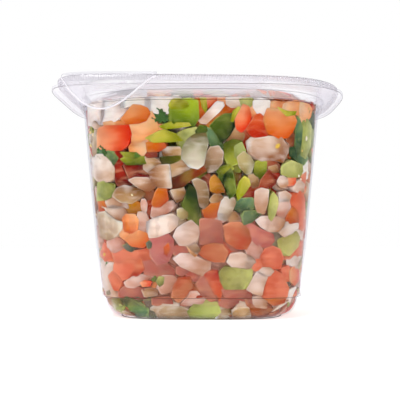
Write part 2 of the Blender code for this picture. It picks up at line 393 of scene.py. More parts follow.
def clear_plastic(
    name, tint, slant_tint, roughness, haze, slant_gloss=0.7, veil=0.0, veil_from=0.0, veil_reach=0.0
):
    """A thin clear sheet with two tints, for straight on and for a slant, and veiled beyond a place."""
    recipe = Recipe(name)
    facing = recipe.add("ShaderNodeLayerWeight", output=1, inputs={"Blend": 0.5})
    gloss_share = facing ** 5.0 * slant_gloss + STRAIGHT_REFLECTION + haze
    through = recipe.blend(facing ** 2.0, (*tint, 1), (*slant_tint, 1))
    clear = recipe.add("ShaderNodeBsdfTransparent", inputs={"Color": through})
    gloss = recipe.add("ShaderNodeBsdfGlossy", inputs={"Color": GLOSS_COLOUR, "Roughness": roughness})
    sheet = recipe.mix_shaders(gloss_share, clear, gloss)
    if veil_from:
        place = recipe.object_place()
        x, y, z = (recipe.add("ShaderNodeSeparateXYZ", output=k, inputs={0: place}) for k in range(3))
        absolute = {"operation": "ABSOLUTE"}
        aside = [recipe.add("ShaderNodeMath", absolute, inputs={0: way}) for way in (x, y)]
        reach = recipe.add("ShaderNodeMath", {"operation": "MAXIMUM"}, inputs=dict(enumerate(aside)))
        high = recipe.stretch_out(z, veil_from, veil_from + VEIL_FADE_UP)
        wide = recipe.stretch_out(reach, veil_reach, veil_reach + VEIL_FADE_OUT)
        veil = high * wide * veil
    if veil:
        milk = recipe.add("ShaderNodeBsdfDiffuse", inputs={"Color": VEIL_COLOUR})
        sheet = recipe.mix_shaders(veil, sheet, milk)
    return recipe.finish(sheet)


SHEET_SLANT_TINT = (0.93, 0.93, 0.955)
THICK_TINT, THICK_SLANT_TINT = (0.95, 0.95, 0.95), (0.9, 0.9, 0.92)

tub_plastic = clear_plastic(
    "tub_plastic", (0.995, 0.995, 0.995), SHEET_SLANT_TINT, roughness=0.06, haze=0.0, slant_gloss=0.4,
    veil=0.18, veil_from=SEAT_Z - 0.2 * MM)
lid_plastic = clear_plastic(
    "lid_plastic", (0.99, 0.99, 0.99), SHEET_SLANT_TINT, roughness=0.09, haze=0.02, slant_gloss=0.6,
    veil=0.28, veil_from=101 * MM, veil_reach=56 * MM)
tab_plastic = clear_plastic(
    "tab_plastic", (0.99, 0.99, 0.99), SHEET_SLANT_TINT, roughness=0.12, haze=0.02, slant_gloss=0.4,
    veil=0.1)
bead_plastic = clear_plastic(
    "bead_plastic", THICK_TINT, THICK_SLANT_TINT, roughness=0.3, haze=0.1, slant_gloss=0.6, veil=0.6)
grip_plastic = clear_plastic(
    "grip_plastic", THICK_TINT, THICK_SLANT_TINT, roughness=0.3, haze=0.05, slant_gloss=0.6, veil=0.3)
line_plastic = clear_plastic(
    "line_plastic", (0.66, 0.64, 0.64), (0.55, 0.54, 0.55), roughness=0.3, haze=0.0)
deep_line_plastic = clear_plastic(
    "deep_line_plastic", (0.6, 0.52, 0.48), (0.5, 0.44, 0.4), roughness=0.3, haze=0.0)
# A dark, warm tint for the painted contact shadow round the foot
foot_shadow_plastic = clear_plastic(
    "foot_shadow_plastic", (0.3, 0.22, 0.18), (0.2, 0.14, 0.1), roughness=0.3, haze=0.0, slant_gloss=0.1)

# %% [markdown]
# ## The tub
#
# One formed sheet: a base panel that stands off the table, a rounded foot, a stacking step, the tapered
# wall, a ledge for the lid, and the flange with its rolled edge. It is a loft through levels, with a
# few levels close together at each bend. `soften` then turns the bends into radii.

# %% Loft the tub


def inner_half(height):
    """(half width, power) of the tub's inner face at that height."""
    if height < STEP_Z:
        cosine = min(1, max(0, 1 - (height - SHEET) / (FOOT_TOP_Z - SHEET)))
        half = FOOT_HALF + (BELOW_STEP_HALF - FOOT_HALF) * math.sqrt(1 - cosine * cosine)
        return half - SHEET, mix(FOOT_POWER, STEP_POWER, 1 - cosine)
    share = min(1, (height - STEP_Z) / (SEAT_Z - STEP_Z))
    return mix(WALL_LOW_HALF, WALL_HIGH_HALF, share) - SHEET, mix(STEP_POWER, WALL_POWER, share)


def foot_levels():
    """A quarter of an ellipse from the table up to the step."""
    levels = []
    for degrees in range(0, 90, 10):
        turn = math.radians(degrees)
        half = FOOT_HALF + (BELOW_STEP_HALF - FOOT_HALF) * math.sin(turn)
        height = FOOT_TOP_Z * (1 - math.cos(turn))
        levels.append((half, height, mix(FOOT_POWER, STEP_POWER, degrees / 90)))
    levels.append((BELOW_STEP_HALF, FOOT_TOP_Z, STEP_POWER))
    levels.append((BELOW_STEP_HALF, STEP_Z - 0.5 * MM, STEP_POWER))
    return levels


def tub_levels():
    wall_low = (WALL_LOW_HALF, STEP_Z, STEP_POWER)
    wall_high = (WALL_HIGH_HALF, SEAT_Z - 0.5 * MM, WALL_POWER)
    levels = [(28 * MM, PANEL_RISE, FOOT_POWER), (30 * MM, PANEL_RISE, FOOT_POWER)]
    levels += [(32 * MM, 0.0, FOOT_POWER), (34 * MM, 0.0, FOOT_POWER)] + foot_levels() + [wall_low]
    levels += between(wall_low, wall_high, 12) + [wall_high]
    levels += [
        (WALL_HIGH_HALF + 0.8 * MM, SEAT_Z - 0.1 * MM, mix(WALL_POWER, SEAT_POWER, 0.5)),
        (WALL_HIGH_HALF + 2.1 * MM, SEAT_Z, SEAT_POWER),
        (WALL_HIGH_HALF + 2.4 * MM, SEAT_Z + 0.4 * MM, SEAT_POWER),
        (WALL_HIGH_HALF + 2.9 * MM, FLANGE_Z - 1.0 * MM, SEAT_POWER + 0.1),
        (WALL_HIGH_HALF + 3.3 * MM, FLANGE_Z - 0.2 * MM, SEAT_POWER + 0.2),
        (WALL_HIGH_HALF + 4.4 * MM, FLANGE_Z, SEAT_POWER + 0.3),
    ]
    lip = [
        (RIM_HALF - 3.0 * MM, FLANGE_Z),
        (RIM_HALF - 0.5 * MM, FLANGE_Z),
        (RIM_HALF, FLANGE_Z + 0.4 * LIP_HEIGHT),
        (RIM_HALF, FLANGE_Z + LIP_HEIGHT),
    ]
    return soften(plain(levels) + rim(lip))


verts, faces = loft(tub_levels(), SHELL_SIDES, close_first=True)
tub = new_piece("tub_shell", verts, faces, tub_plastic)
thicken(tub, SHEET)
print("tub shell", len(tub.data.polygons), "faces")

# %% Lines where the tub bends, and a painted shadow round its foot
LINE_RADIUS = 0.12 * MM
FOOT_SHADOW_RADIUS = 0.25 * MM
# Name, half width, height, power, share of the squarer tab corner, radius and material
TUB_BENDS = (
    ("flange_line", RIM_HALF - 0.2 * MM, FLANGE_Z + 0.2 * MM, RIM_POWER, 1.0, LINE_RADIUS, line_plastic),
    ("seat_rim_line", 61.5 * MM, SEAT_Z + 3.7 * MM, SEAT_POWER, 0.0, LINE_RADIUS, line_plastic),
    ("seat_line", 60.6 * MM, SEAT_Z + 0.3 * MM, SEAT_POWER, 0.0, LINE_RADIUS, deep_line_plastic),
    ("wall_top_line", WALL_HIGH_HALF, SEAT_Z - 0.6 * MM, WALL_POWER, 0.0, LINE_RADIUS, deep_line_plastic),
    ("step_line", WALL_LOW_HALF - 0.2 * MM, STEP_Z - 0.1 * MM, STEP_POWER, 0.0, LINE_RADIUS,
     line_plastic),
    # The foot's bead is painted shadow: the dark line where the foot meets the table, its contact shadow
    # together with the dark edge of its bend
    ("foot_shadow_line", FOOT_HALF + 0.9 * MM, FOOT_SHADOW_RADIUS, FOOT_POWER, 0.0, FOOT_SHADOW_RADIUS,
     foot_shadow_plastic),
)
tub_lines = [ring_line(*bend) for bend in TUB_BENDS]

# %% [markdown]
# ## The lid
#
# The lid is formed too: a raised panel, a groove that plugs into the tub's seat, a rim and a short
# skirt that stands on the flange. The left side isn't pressed fully home, so the whole lid is turned a
# little about its right edge. The CAD lid has the same turn.

# %% Loft the lid
LID_SHEET = 0.7 * MM
LID_HALF = lid_high[0]
LID_TOP_Z = 110.3 * MM
LID_GROOVE_Z = 103.6 * MM
LID_PANEL_Z = 108.4 * MM
LID_LIFT = 1.6 * MM
SKIRT_FOOT_Z = FLANGE_Z + SHEET + 0.4 * MM

hinge_line = Matrix.Translation((LID_HALF, 0, LID_TOP_Z))
lift_angle = math.asin(LID_LIFT / (2 * LID_HALF))
lid_tilt = hinge_line @ Matrix.Rotation(lift_angle, 4, "Y") @ hinge_line.inverted()


def lid_levels():
    levels = [
        (47.0 * MM, LID_PANEL_Z, SEAT_POWER),
        (48.6 * MM, LID_PANEL_Z, SEAT_POWER),
        (50.0 * MM, LID_PANEL_Z - 0.6 * MM, SEAT_POWER),
        (52.2 * MM, LID_GROOVE_Z + 0.5 * MM, SEAT_POWER),
        (53.2 * MM, LID_GROOVE_Z, SEAT_POWER),
        (57.4 * MM, LID_GROOVE_Z, SEAT_POWER),
        (58.2 * MM, LID_GROOVE_Z + 0.8 * MM, SEAT_POWER),
        (58.9 * MM, LID_TOP_Z - 0.9 * MM, SEAT_POWER + 0.1),
        (59.5 * MM, LID_TOP_Z - 0.1 * MM, SEAT_POWER + 0.2),
        (60.6 * MM, LID_TOP_Z, SEAT_POWER + 0.3),
    ]
    skirt = [
        (LID_HALF - 1.4 * MM, LID_TOP_Z),
        (LID_HALF - 0.5 * MM, LID_TOP_Z - 0.1 * MM),
        (LID_HALF - 0.3 * MM, LID_TOP_Z - 0.6 * MM),
        (LID_HALF, SKIRT_FOOT_Z),
    ]
    return soften(plain(levels) + rim(skirt))


verts, faces = loft(lid_levels(), SHELL_SIDES, close_first=True)
faces = [tuple(reversed(face)) for face in faces]
lid = new_piece("lid_shell", verts, faces, lid_plastic)
thicken(lid, LID_SHEET)
lid.data.transform(lid_tilt)
print("lid shell", len(lid.data.polygons), "faces")

lid_line = ring_line(
    "lid_line", LID_HALF - 0.3 * MM, LID_TOP_Z - 0.6 * MM, RIM_POWER, 1.0, LINE_RADIUS, line_plastic)
lid_line.data.transform(lid_tilt)

# %% [markdown]
# ## The ribs round the lid's rim
#
# Fine upright ribs run round the skirt, about one each millimetre. They repeat along a path, so
# Geometry Nodes make them: the path is resampled to as many points as there are ribs, a short rod is
# placed on each, and the rods are made real so that the export keeps them.

# %% Rib nodes
RIB_PITCH = 1.15 * MM
RIB_RADIUS = 0.26 * MM
RIB_SIDES = 6
ROD_INPUTS = (("Geometry", "Geometry"), ("Count", "Int"), ("Radius", "Float"), ("Length", "Float"))


def rod_ring_nodes(material):
    """A node tree that stands rods on the points of a resampled path."""
    tree = bpy.data.node_groups.new("rod_ring", "GeometryNodeTree")
    for name, kind in ROD_INPUTS:
        tree.interface.new_socket(name, in_out="INPUT", socket_type="NodeSocket" + kind)
    tree.interface.new_socket("Geometry", in_out="OUTPUT", socket_type="NodeSocketGeometry")
    new, link = tree.nodes.new, tree.links.new
    start, end = new("NodeGroupInput"), new("NodeGroupOutput")
    path, points = new("GeometryNodeMeshToCurve"), new("GeometryNodeResampleCurve")
    rod, place = new("GeometryNodeMeshCylinder"), new("GeometryNodeInstanceOnPoints")
    real, dress = new("GeometryNodeRealizeInstances"), new("GeometryNodeSetMaterial")
    rod.inputs["Vertices"].default_value = RIB_SIDES
    dress.inputs["Material"].default_value = material
    link(start.outputs["Geometry"], path.inputs["Mesh"])
    link(path.outputs["Curve"], points.inputs["Curve"])
    link(start.outputs["Count"], points.inputs["Count"])
    link(points.outputs["Curve"], place.inputs["Points"])
    link(start.outputs["Radius"], rod.inputs["Radius"])
    link(start.outputs["Length"], rod.inputs["Depth"])
    link(rod.outputs["Mesh"], place.inputs["Instance"])
    link(place.outputs["Instances"], real.inputs["Geometry"])
    link(real.outputs["Geometry"], dress.inputs["Geometry"])
    link(dress.outputs["Geometry"], end.inputs["Geometry"])
    return tree


def rod_ring(name, path_points, tree, values):
    """Rods along a closed path of points, as one plain mesh."""
    count = len(path_points)
    edges = [(i, i + 1) for i in range(count - 1)] + [(count - 1, 0)]
    mesh = bpy.data.meshes.new(name)
    mesh.from_pydata(path_points, edges, [])
    piece = put_in_scene(name, mesh)
    modifier = piece.modifiers.new("rods", "NODES")
    modifier.node_group = tree
    for item in tree.interface.items_tree:
        if item.in_out == "INPUT" and item.name in values:
            modifier[item.identifier] = values[item.name]
    freeze(piece)
    piece.data.shade_smooth()
    return piece


rib_height = LID_TOP_Z - 0.8 * MM - SKIRT_FOOT_Z
rim_path = []
for i in range(RIB_PATH_SIDES):
    turn = math.tau * i / RIB_PATH_SIDES
    x, y = squircle(LID_HALF - 0.12 * MM, corner_power(RIM_POWER, turn), turn)
    rim_path.append((x, y, SKIRT_FOOT_Z + rib_height / 2 + 0.2 * MM))
rim_length = sum(math.dist(a, b) for a, b in zip(rim_path, rim_path[1:] + rim_path[:1]))
rib_values = {"Count": round(rim_length / RIB_PITCH), "Radius": RIB_RADIUS, "Length": rib_height}
ribs = rod_ring("lid_ribs", rim_path, rod_ring_nodes(lid_plastic), rib_values)
ribs.data.transform(lid_tilt)
print("rim", round(rim_length / MM), "mm round,", len(ribs.data.polygons), "rib faces")

# %% [markdown]
# ## The pull tab
#
# At the front left corner the rim widens into a rounded tab, which passes over the flange and droops.
# Its edge is rolled, and that thick edge is the bright curved line in the photograph. Three plain grip
# ribs run along its face.

# %% The tab's sheet
TAB_DROP = 14.6 * MM
TAB_FIRST_ANGLE = math.radians(-134)
TAB_LAST_ANGLE = math.radians(-105.5)
# How far the widest drop is moved along the tab, and how fast the drop runs out at its ends
TAB_SKEW, TAB_FADE = 0.76, 1.4
TAB_SHEET = 0.6 * MM
TAB_EDGE_RADIUS = 0.45 * MM
GRIP_RADIUS = 0.4 * MM
# Where the grip ribs lie, from the rim to the free edge
GRIP_ROWS = (0.72, 0.79, 0.86)


def tab_point(across, down):
    """A point of the tab, for 0 to 1 along the rim and 0 to 1 from the rim to the free edge."""
    angle = mix(TAB_FIRST_ANGLE, TAB_LAST_ANGLE, across)
    power = corner_power(RIM_POWER, angle)
    x, y = squircle(LID_HALF, power, angle)
    out = squircle_out(power, x, y)
    drop = TAB_DROP * math.sin(math.pi * across**TAB_SKEW) ** TAB_FADE
    rows = [
        (-2.0 * MM, LID_TOP_Z + 0.1 * MM),
        (0.9 * MM, LID_TOP_Z + 0.2 * MM),
        (2.2 * MM, LID_TOP_Z),
        (3.1 * MM, LID_TOP_Z - 0.8 * MM - 0.05 * drop),
        (3.2 * MM + 0.01 * drop, LID_TOP_Z - 1.4 * MM - 0.5 * drop),
        (3.2 * MM + 0.02 * drop, LID_TOP_Z - 1.9 * MM - drop),
    ]
    place = down * (len(rows) - 1)
    k = min(int(place), len(rows) - 2)
    reach, height = (mix(a, b, place - k) for a, b in zip(rows[k], rows[k + 1]))
    return Vector((x + out.x * reach, y + out.y * reach, height))


def tab_sheet(columns, rows):
    """The tab as a grid of quads."""
    verts = [tab_point(i / columns, k / rows) for i in range(columns + 1) for k in range(rows + 1)]
    faces = []
    for i in range(columns):
        for k in range(rows):
            corner = i * (rows + 1) + k
            faces.append((corner, corner + 1, corner + rows + 2, corner + rows + 1))
    return verts, faces


verts, faces = tab_sheet(40, 20)
tab = new_piece("pull_tab", verts, faces, tab_plastic)
thicken(tab, TAB_SHEET, offset=0)
tab.data.transform(lid_tilt)

edge_path = [tab_point(i / 60, 1) for i in range(61)]
tab_edge = tube("tab_edge", edge_path, TAB_EDGE_RADIUS, bead_plastic)
tab_edge.data.transform(lid_tilt)

# Short ribs along the tab, each a little shorter than the one above it
grip_ribs = []
for number, down in enumerate(GRIP_ROWS):
    low, high = 0.28 + 0.05 * number, 0.66 - 0.05 * number
    rib_path = [tab_point(mix(low, high, i / 12), down) for i in range(13)]
    grip = tube(f"grip_rib_{number}", rib_path, GRIP_RADIUS, grip_plastic)
    grip.data.transform(lid_tilt)
    grip_ribs.append(grip)
print("tab", len(tab.data.polygons), "faces, with", len(grip_ribs), "grip ribs")

# %% [markdown]
# ## Cutting vegetables
#
# A knife leaves flat faces and slightly rounded edges, but few right angles. So a diced piece is a
# short prism over an uneven outline of four to six corners. It narrows towards its back, leans, and is
# bent if it is onion or pepper, because those are cut from curved layers. Each piece has about 100
# points, few enough to repeat more than a thousand times. A piece with a given outline, on the side
# that the photograph shows, widens towards its back instead, which closes the gaps between neighbours.

# %% The prism
# Each ring of points up a piece and in over its front: its width, height and nearness to an edge
RINGS = ((0.95, -1.0, 0.5), (1.0, -0.88, 1.0), (1.0, 0.9, 1.0), (0.97, 1.0, 1.0), (0.88, 1.0, 0.0))
# One more for a given outline, so that the colour, with its painted shade, can turn between its middle
# and its sides
HEART = (0.5, 1.0, 0.0)
draw = random.Random(5)


def uneven_outline(corners, rounding, ragged):
    """An outline of that many corners which just fills the square from -1 to 1.

    The corners are rounded, and the middle of each side is moved in or out by the ragged share.
    """
    first = math.pi / corners + draw.gauss(0, 0.22)
    turns = [first + math.tau * (i + draw.uniform(-0.2, 0.2)) / corners for i in range(corners)]
    sharp = [Vector((math.cos(t), math.sin(t))) * draw.uniform(0.85, 1.1) for t in turns]
    ring = []
    for i, corner in enumerate(sharp):
        before, after = sharp[i - 1], sharp[(i + 1) % corners]
        ring.append(corner.lerp(before, rounding))
        ring.append(corner.lerp((before + after) / 2, rounding * 0.5))
        ring.append(corner.lerp(after, rounding))
        middle = corner.lerp(after, draw.uniform(0.4, 0.6))
        ring.append(middle * (1 + draw.gauss(0, ragged)))
    ring = np.array(ring)
    low, high = ring.min(axis=0), ring.max(axis=0)
    return (ring - (low + high) / 2) / ((high - low) / 2)


def prism(ring, rings):
    """A short prism over an outline, from -1 to 1.

    Returns its points, quads and end triangles, and how near each point is to an edge and to a side.
    """
    around = len(ring)
    levels = [np.column_stack([ring * width, np.full(around, height)]) for width, height, _ in rings]
    points = np.concatenate(levels + [[(0, 0, -1.0)], [(0, 0, 1.0)]])
    edge = np.concatenate([np.full(around, share) for *_, share in rings] + [[0.0, 0.0]])
    aside = np.concatenate([np.full(around, width) for width, *_ in rings] + [[0.0, 0.0]])
    i = np.arange(around)
    j = (i + 1) % around
    quads = np.concatenate([
        np.column_stack([k * around + i, k * around + j, (k + 1) * around + j, (k + 1) * around + i])
        for k in range(len(rings) - 1)
    ])
    bottom, top = len(points) - 2, len(points) - 1
    last = (len(rings) - 1) * around
    ends = np.concatenate([
        np.column_stack([np.full(around, bottom), j, i]),
        np.column_stack([np.full(around, top), last + i, last + j]),
    ])
    return points, quads, ends, edge, aside


# %% [markdown]
# ## What the kinds look like
#
# Each kind of piece has its own range of sizes. Wet flesh is pale where light gets into it and deep
# where it turns away, and that light and shade is painted into the colour: a palette here is two
# colours, and a piece runs from its pale one to its deep one across its broad side and out to its
# edges. Part of that is the flesh's own tone and part is painted shade. It strays from both a little.
# The colour is stored on the mesh as an attribute, so that one material serves every piece of a kind.

# %% Kinds and palettes
# The pale and the deep colour of a piece, as a picture shows them, 0 to 255
PALETTES = {
    "snow": ((255, 234, 225), (255, 220, 207)),
    "white": ((252, 238, 226), (214, 178, 152)),
    "onion": ((236, 222, 206), (160, 128, 92)),
    "onion_blush": ((248, 220, 206), (190, 136, 100)),
    "onion_warm": ((226, 188, 160), (142, 80, 38)),
    "onion_grey": ((200, 174, 142), (112, 84, 46)),
    "onion_green": ((212, 196, 140), (132, 120, 60)),
    "onion_shaded": ((242, 232, 214), (104, 98, 50)),
    "onion_pink": ((240, 192, 174), (178, 108, 84)),
    "khaki": ((212, 172, 124), (116, 68, 22)),
    "tomato": ((250, 182, 138), (230, 48, 0)),
    "tomato_bright": ((246, 176, 124), (226, 92, 0)),
    "tomato_pale": ((254, 200, 156), (250, 154, 86)),
    "tomato_pink": ((244, 138, 106), (222, 102, 66)),
    "tomato_red": ((232, 98, 44), (174, 30, 0)),
    "flesh": ((200, 116, 112), (170, 86, 84)),
    "flesh_dull": ((188, 114, 98), (146, 82, 72)),
    "ember": ((206, 128, 86), (178, 80, 36)),
    "rust": ((146, 50, 8), (88, 12, 0)),
    "wine": ((114, 20, 8), (60, 0, 0)),
    "brown": ((142, 74, 30), (72, 30, 12)),
    "orange": ((212, 120, 8), (174, 62, 0)),
    "yellow": ((196, 136, 6), (128, 78, 0)),
    "green": ((168, 169, 52), (74, 80, 2)),
    "green_bright": ((188, 207, 44), (80, 104, 12)),
    "green_soft": ((222, 218, 140), (166, 164, 88)),
    "lime": ((212, 198, 82), (142, 148, 8)),
    "green_pale": ((190, 196, 116), (138, 142, 70)),
    "green_dark": ((86, 106, 16), (10, 30, 0)),
    "olive": ((106, 98, 4), (62, 46, 0)),
    "teal": ((110, 142, 100), (44, 70, 46)),
    # Dull grey pieces that fill dark gaps between others: painted shade
    "gap_shade": ((124, 116, 104), (84, 82, 74)),
    "seed": ((246, 232, 200), (226, 176, 70)),
}


def light_amount(level):
    """The share of light that a picture's 0 to 255 level stands for."""
    level = level / 255
    return level / 12.92 if level <= 0.04045 else ((level + 0.055) / 1.055) ** 2.4


# For each kind: the basket that it goes into, length, width and thickness in millimetres, number of
# corners, corner rounding, how ragged its sides are, bend radius in millimetres (0 for none) and lump
# height in millimetres
CUTS = {
    "onion": ("onion", (10.5, 9.0, 4.4), (4, 4, 4, 5), 0.12, 0.06, 20, 0.2),
    "tomato": ("tomato", (12.5, 10.5, 7.5), (4, 5, 5, 6), 0.17, 0.12, 0, 0.6),
    "green": ("pepper", (9.5, 8.0, 3.6), (4, 4, 5), 0.12, 0.07, 14, 0.25),
    "strip": ("pepper", (13.0, 4.2, 3.2), (4, 4, 4), 0.18, 0.06, 18, 0.2),
}

# %% [markdown]
# ## Pressing pieces against the wall
#
# Food in a full tub is pressed against the plastic, and the flat wet patches where it touches are what
# tells the eye that the wall is there. After a piece is placed, each point that lies beyond the wall's
# inner face is moved back to it, to just inside the plastic, so that no gap of air shows.

# %% Room for food
FLOOR_Z = SHEET + PANEL_RISE
GROOVE_UNDER_Z = LID_GROOVE_Z - LID_SHEET
PANEL_UNDER_Z = LID_PANEL_Z - LID_SHEET
# Two places and what holds at each, with a straight run between: how far food goes into the sheet, by
# height, and its ceiling and its floor, by reach
INTO_WALL = (3 * MM, 6 * MM), (0.5 * MM, 0.06 * MM)
CEILING = (48.0 * MM, 52.5 * MM), (PANEL_UNDER_Z, GROOVE_UNDER_Z)
FLOOR = (30.0 * MM, 32.5 * MM), (FLOOR_Z, 0.35 * MM)
UNDER_CEILING = 0.2 * MM
HEAP_TOP_Z = 107.0 * MM
# The hollow at the heap's front left corner: its depth, its middle and how far it spreads
HOLLOW_DEPTH = 11.5 * MM
HOLLOW_X, HOLLOW_Y = -52 * MM, -54 * MM
HOLLOW_SPREAD = 38 * MM

heights = np.linspace(0, SEAT_Z, 200)
half_table = np.array([inner_half(z) for z in heights])


def press(points, back=0.0):
    """Moves points that lie outside the room for food to its surface, or to that far behind it."""
    z = points[:, 2]
    half = np.interp(z, heights, half_table[:, 0])
    power = np.interp(z, heights, half_table[:, 1])
    x, y = np.abs(points[:, 0]), np.abs(points[:, 1])
    reach = (x**power + y**power) ** (1 / power)
    limit = half + np.interp(z, *INTO_WALL) - back
    scale = np.where(reach > limit, limit / np.maximum(reach, 1e-6), 1.0)
    points[:, :2] *= scale[:, None]
    reach = reach * scale
    points[:, 2] = np.clip(z, np.interp(reach, *FLOOR), np.interp(reach, *CEILING) - UNDER_CEILING)
    return points


def heap_top(x, y):
    """How high the food reaches: up to the lid, and lower in the front left corner."""
    away = math.hypot(x - HOLLOW_X, y - HOLLOW_Y) / HOLLOW_SPREAD
    return HEAP_TOP_Z - HOLLOW_DEPTH * math.exp(-away * away)


# %% The wall as a map
MAP_ANGLES = np.linspace(0, math.tau, 721)
MAP_Z = 55 * MM
# The steepest run of the foot that a piece follows
STEEPEST = 2.5
# Where sight lines are followed to find the wall, and in how many steps and halvings
SEARCH_DEPTH = 75 * MM
SEARCH_STEPS, SEARCH_HALVINGS = 60, 20


def wall_spot(angle, height):
    """The point of the wall's inner face in that direction at that height, and its outward direction."""
    half, power = inner_half(height)
    x, y = squircle(half, power, angle)
    out = squircle_out(power, x, y)
    slope = (inner_half(height + 1 * MM)[0] - inner_half(height - 1 * MM)[0]) / (2 * MM)
    return Vector((x, y, height)), Vector((out.x, out.y, -min(slope, STEEPEST))).normalized()


map_points = np.array([wall_spot(angle, MAP_Z)[0] for angle in MAP_ANGLES])
map_lengths = np.concatenate([[0], np.cumsum(np.linalg.norm(np.diff(map_points, axis=0), axis=1))])
WALL_ROUND = map_lengths[-1]


def angle_at(length):
    """The direction of a place on the map."""
    return float(np.interp(length % WALL_ROUND, map_lengths, MAP_ANGLES))


def length_at(angle):
    """How far round the map that direction lies."""
    return float(np.interp(angle % math.tau, MAP_ANGLES, map_lengths))


def wall_behind_pixel(column, row):
    """The point of the inner wall that the photograph shows at a pixel, and its distance, if any."""
    start, along = photo_ray(column, row)
    near, far = CAMERA_DISTANCE - SEARCH_DEPTH, CAMERA_DISTANCE

    def outside(distance):
        spot = start + along * distance
        half, power = inner_half(max(spot.z, 0.5 * MM))
        return (abs(spot.x) ** power + abs(spot.y) ** power) ** (1 / power) - half

    steps = [mix(near, far, i / SEARCH_STEPS) for i in range(SEARCH_STEPS + 1)]
    for a, b in zip(steps, steps[1:]):
        if outside(b) < 0:
            for _ in range(SEARCH_HALVINGS):
                middle = (a + b) / 2
                if outside(middle) < 0:
                    b = middle
                else:
                    a = middle
            return start + along * b, b
    return None, None


print("wall is", round(WALL_ROUND / MM), "mm round at mid height")

# %% [markdown]
# ## Making and collecting the pieces
#
# `cut` makes one piece and keeps it in a basket with others of its finish. The baskets become one mesh
# each at the end. Random numbers come from one seeded generator, so the tub is packed the same way on
# each run.

# %% Baskets
# What is marked on each point, with the kind of attribute that holds it and the field of that
MARKS = {"tone": ("FLOAT_COLOR", "color"), "skin": ("FLOAT", "value"), "edge": ("FLOAT", "value"),
         "grain": ("FLOAT_VECTOR", "vector")}
# How much the colour of a placed piece and of any other strays, and how tight the lumps are
PLACED_STRAY, STRAY = 0.035, 0.07
LUMP_WAVES = 900
baskets = {}


def put_in_basket(name, points, face_groups, **marks):
    """Adds a piece's points, its faces and what is marked on its points."""
    empty = {"points": [], "faces": [], "count": 0} | {mark: [] for mark in MARKS}
    basket = baskets.setdefault(name, empty)
    for group in face_groups:
        basket["faces"] += (group + basket["count"]).tolist()
    basket["points"].append(points)
    for mark in MARKS:
        basket[mark].append(marks[mark])
    basket["count"] += len(points)


def two_tones(palette, share, shade=1.0, stray=STRAY):
    """Colours between a palette's pale and deep one, by share, all a little off in the same way."""
    pale, deep = (np.array(tone) for tone in PALETTES[palette])
    levels = pale + (deep - pale) * share[:, None]
    # shade below 1 darkens the whole piece as painted shade, and above 1 lightens it as painted light
    brightness = shade * (1 + draw.gauss(0, stray))
    off = brightness * np.array([1 + draw.gauss(0, stray * 0.5) for _ in range(3)])
    colours = ((levels / 255 + 0.055) / 1.055) ** 2.4 * off
    return np.column_stack([np.clip(colours, 0.002, 0.95), np.ones(len(share))])


def facing_frame(out, turn, lean):
    """A rotation whose third axis is out, turned about it and then leaned at random."""
    up = Vector((0, 0, 1)) if abs(out.z) < 0.8 else Vector((0, 1, 0))
    right = up.cross(out).normalized()
    up = out.cross(right)
    facing = Matrix((right, up, out)).transposed()
    tip = Matrix.Rotation(draw.gauss(0, lean), 3, "X") @ Matrix.Rotation(draw.gauss(0, lean), 3, "Y")
    return np.array(facing @ tip @ Matrix.Rotation(turn, 3, "Z"))


def lumps(points, height):
    """Soft lumps, as moves along the way out from the middle."""
    waves = np.array([[draw.uniform(-1, 1) for _ in range(3)] for _ in range(4)]) * LUMP_WAVES
    phase = np.array([draw.uniform(0, math.tau) for _ in range(4)])
    away = points / np.maximum(np.linalg.norm(points, axis=1), 1e-6)[:, None]
    return away * (np.sin(points @ waves.T + phase).mean(axis=1) * height)[:, None]


def cut(kind, palette, spot, out, size, turn=None, lean=0.1, back=0.0, shade=1.0, ring=None, flow=None):
    """One diced piece, centred on a spot, with its broad side towards out. size is in metres.

    Its outline is drawn at random where no ring of points is given, and a piece with a given one widens
    away from its front. Its colour deepens towards flow, an angle in the plane of its broad side. Its
    front stays the distance back behind the wall, so that where two pieces overlap one is in front.
    """
    basket, _, corners, rounding, ragged, bend, lump = CUTS[kind]
    turn = draw.uniform(0, math.tau) if turn is None else turn
    flow = draw.uniform(0, math.tau) if flow is None else flow
    given = ring is not None
    if not given:
        ring = uneven_outline(draw.choice(corners), rounding, ragged)
    shape, quads, ends, edge, aside = prism(ring, RINGS + (HEART,) if given else RINGS)
    # The colour runs from pale to deep towards flow and deepens out to the sides: partly the flesh's own
    # tone, partly painted light and shade
    share = 0.5 + 0.6 * (math.cos(flow) * shape[:, 0] + math.sin(flow) * shape[:, 1])
    share = np.clip(share + 0.35 * (aside - 0.6), 0, 1)
    # edge marks the edges on the pale side, where a painted highlight goes
    edge = edge * (1 - share)
    widening = 0.04 + 0.25 * min(back / (0.5 * MM), 1) if given else draw.uniform(-0.2, 0.04)
    shape[:, :2] *= (1 + widening * (1 - shape[:, 2]) / 2)[:, None]
    shape[:, 0] += draw.uniform(-0.1, 0.1) * (shape[:, 2] - 1)
    shape[:, 2] *= 1 + draw.uniform(-0.35, 0.35) * shape[:, 1]
    points = shape * np.array(size) / 2
    if bend:
        sag = points[:, 0] ** 2 / (2 * bend * MM)
        points[:, 2] -= (sag - sag.mean() * 0.5) * draw.choice((-1, 1))
    points += lumps(points, lump * MM)
    grain = points + np.array([draw.uniform(-1, 1) for _ in range(3)])
    skin = np.clip((shape[:, 2] * draw.choice((-1, 1)) - 0.7) * 4, 0, 1)
    points = points @ facing_frame(out, turn, lean).T + np.array(spot)
    tone = two_tones(palette, share, shade, PLACED_STRAY if given else STRAY)
    points = press(points, back)
    put_in_basket(basket, points, (quads, ends), tone=tone, skin=skin, edge=edge, grain=grain)
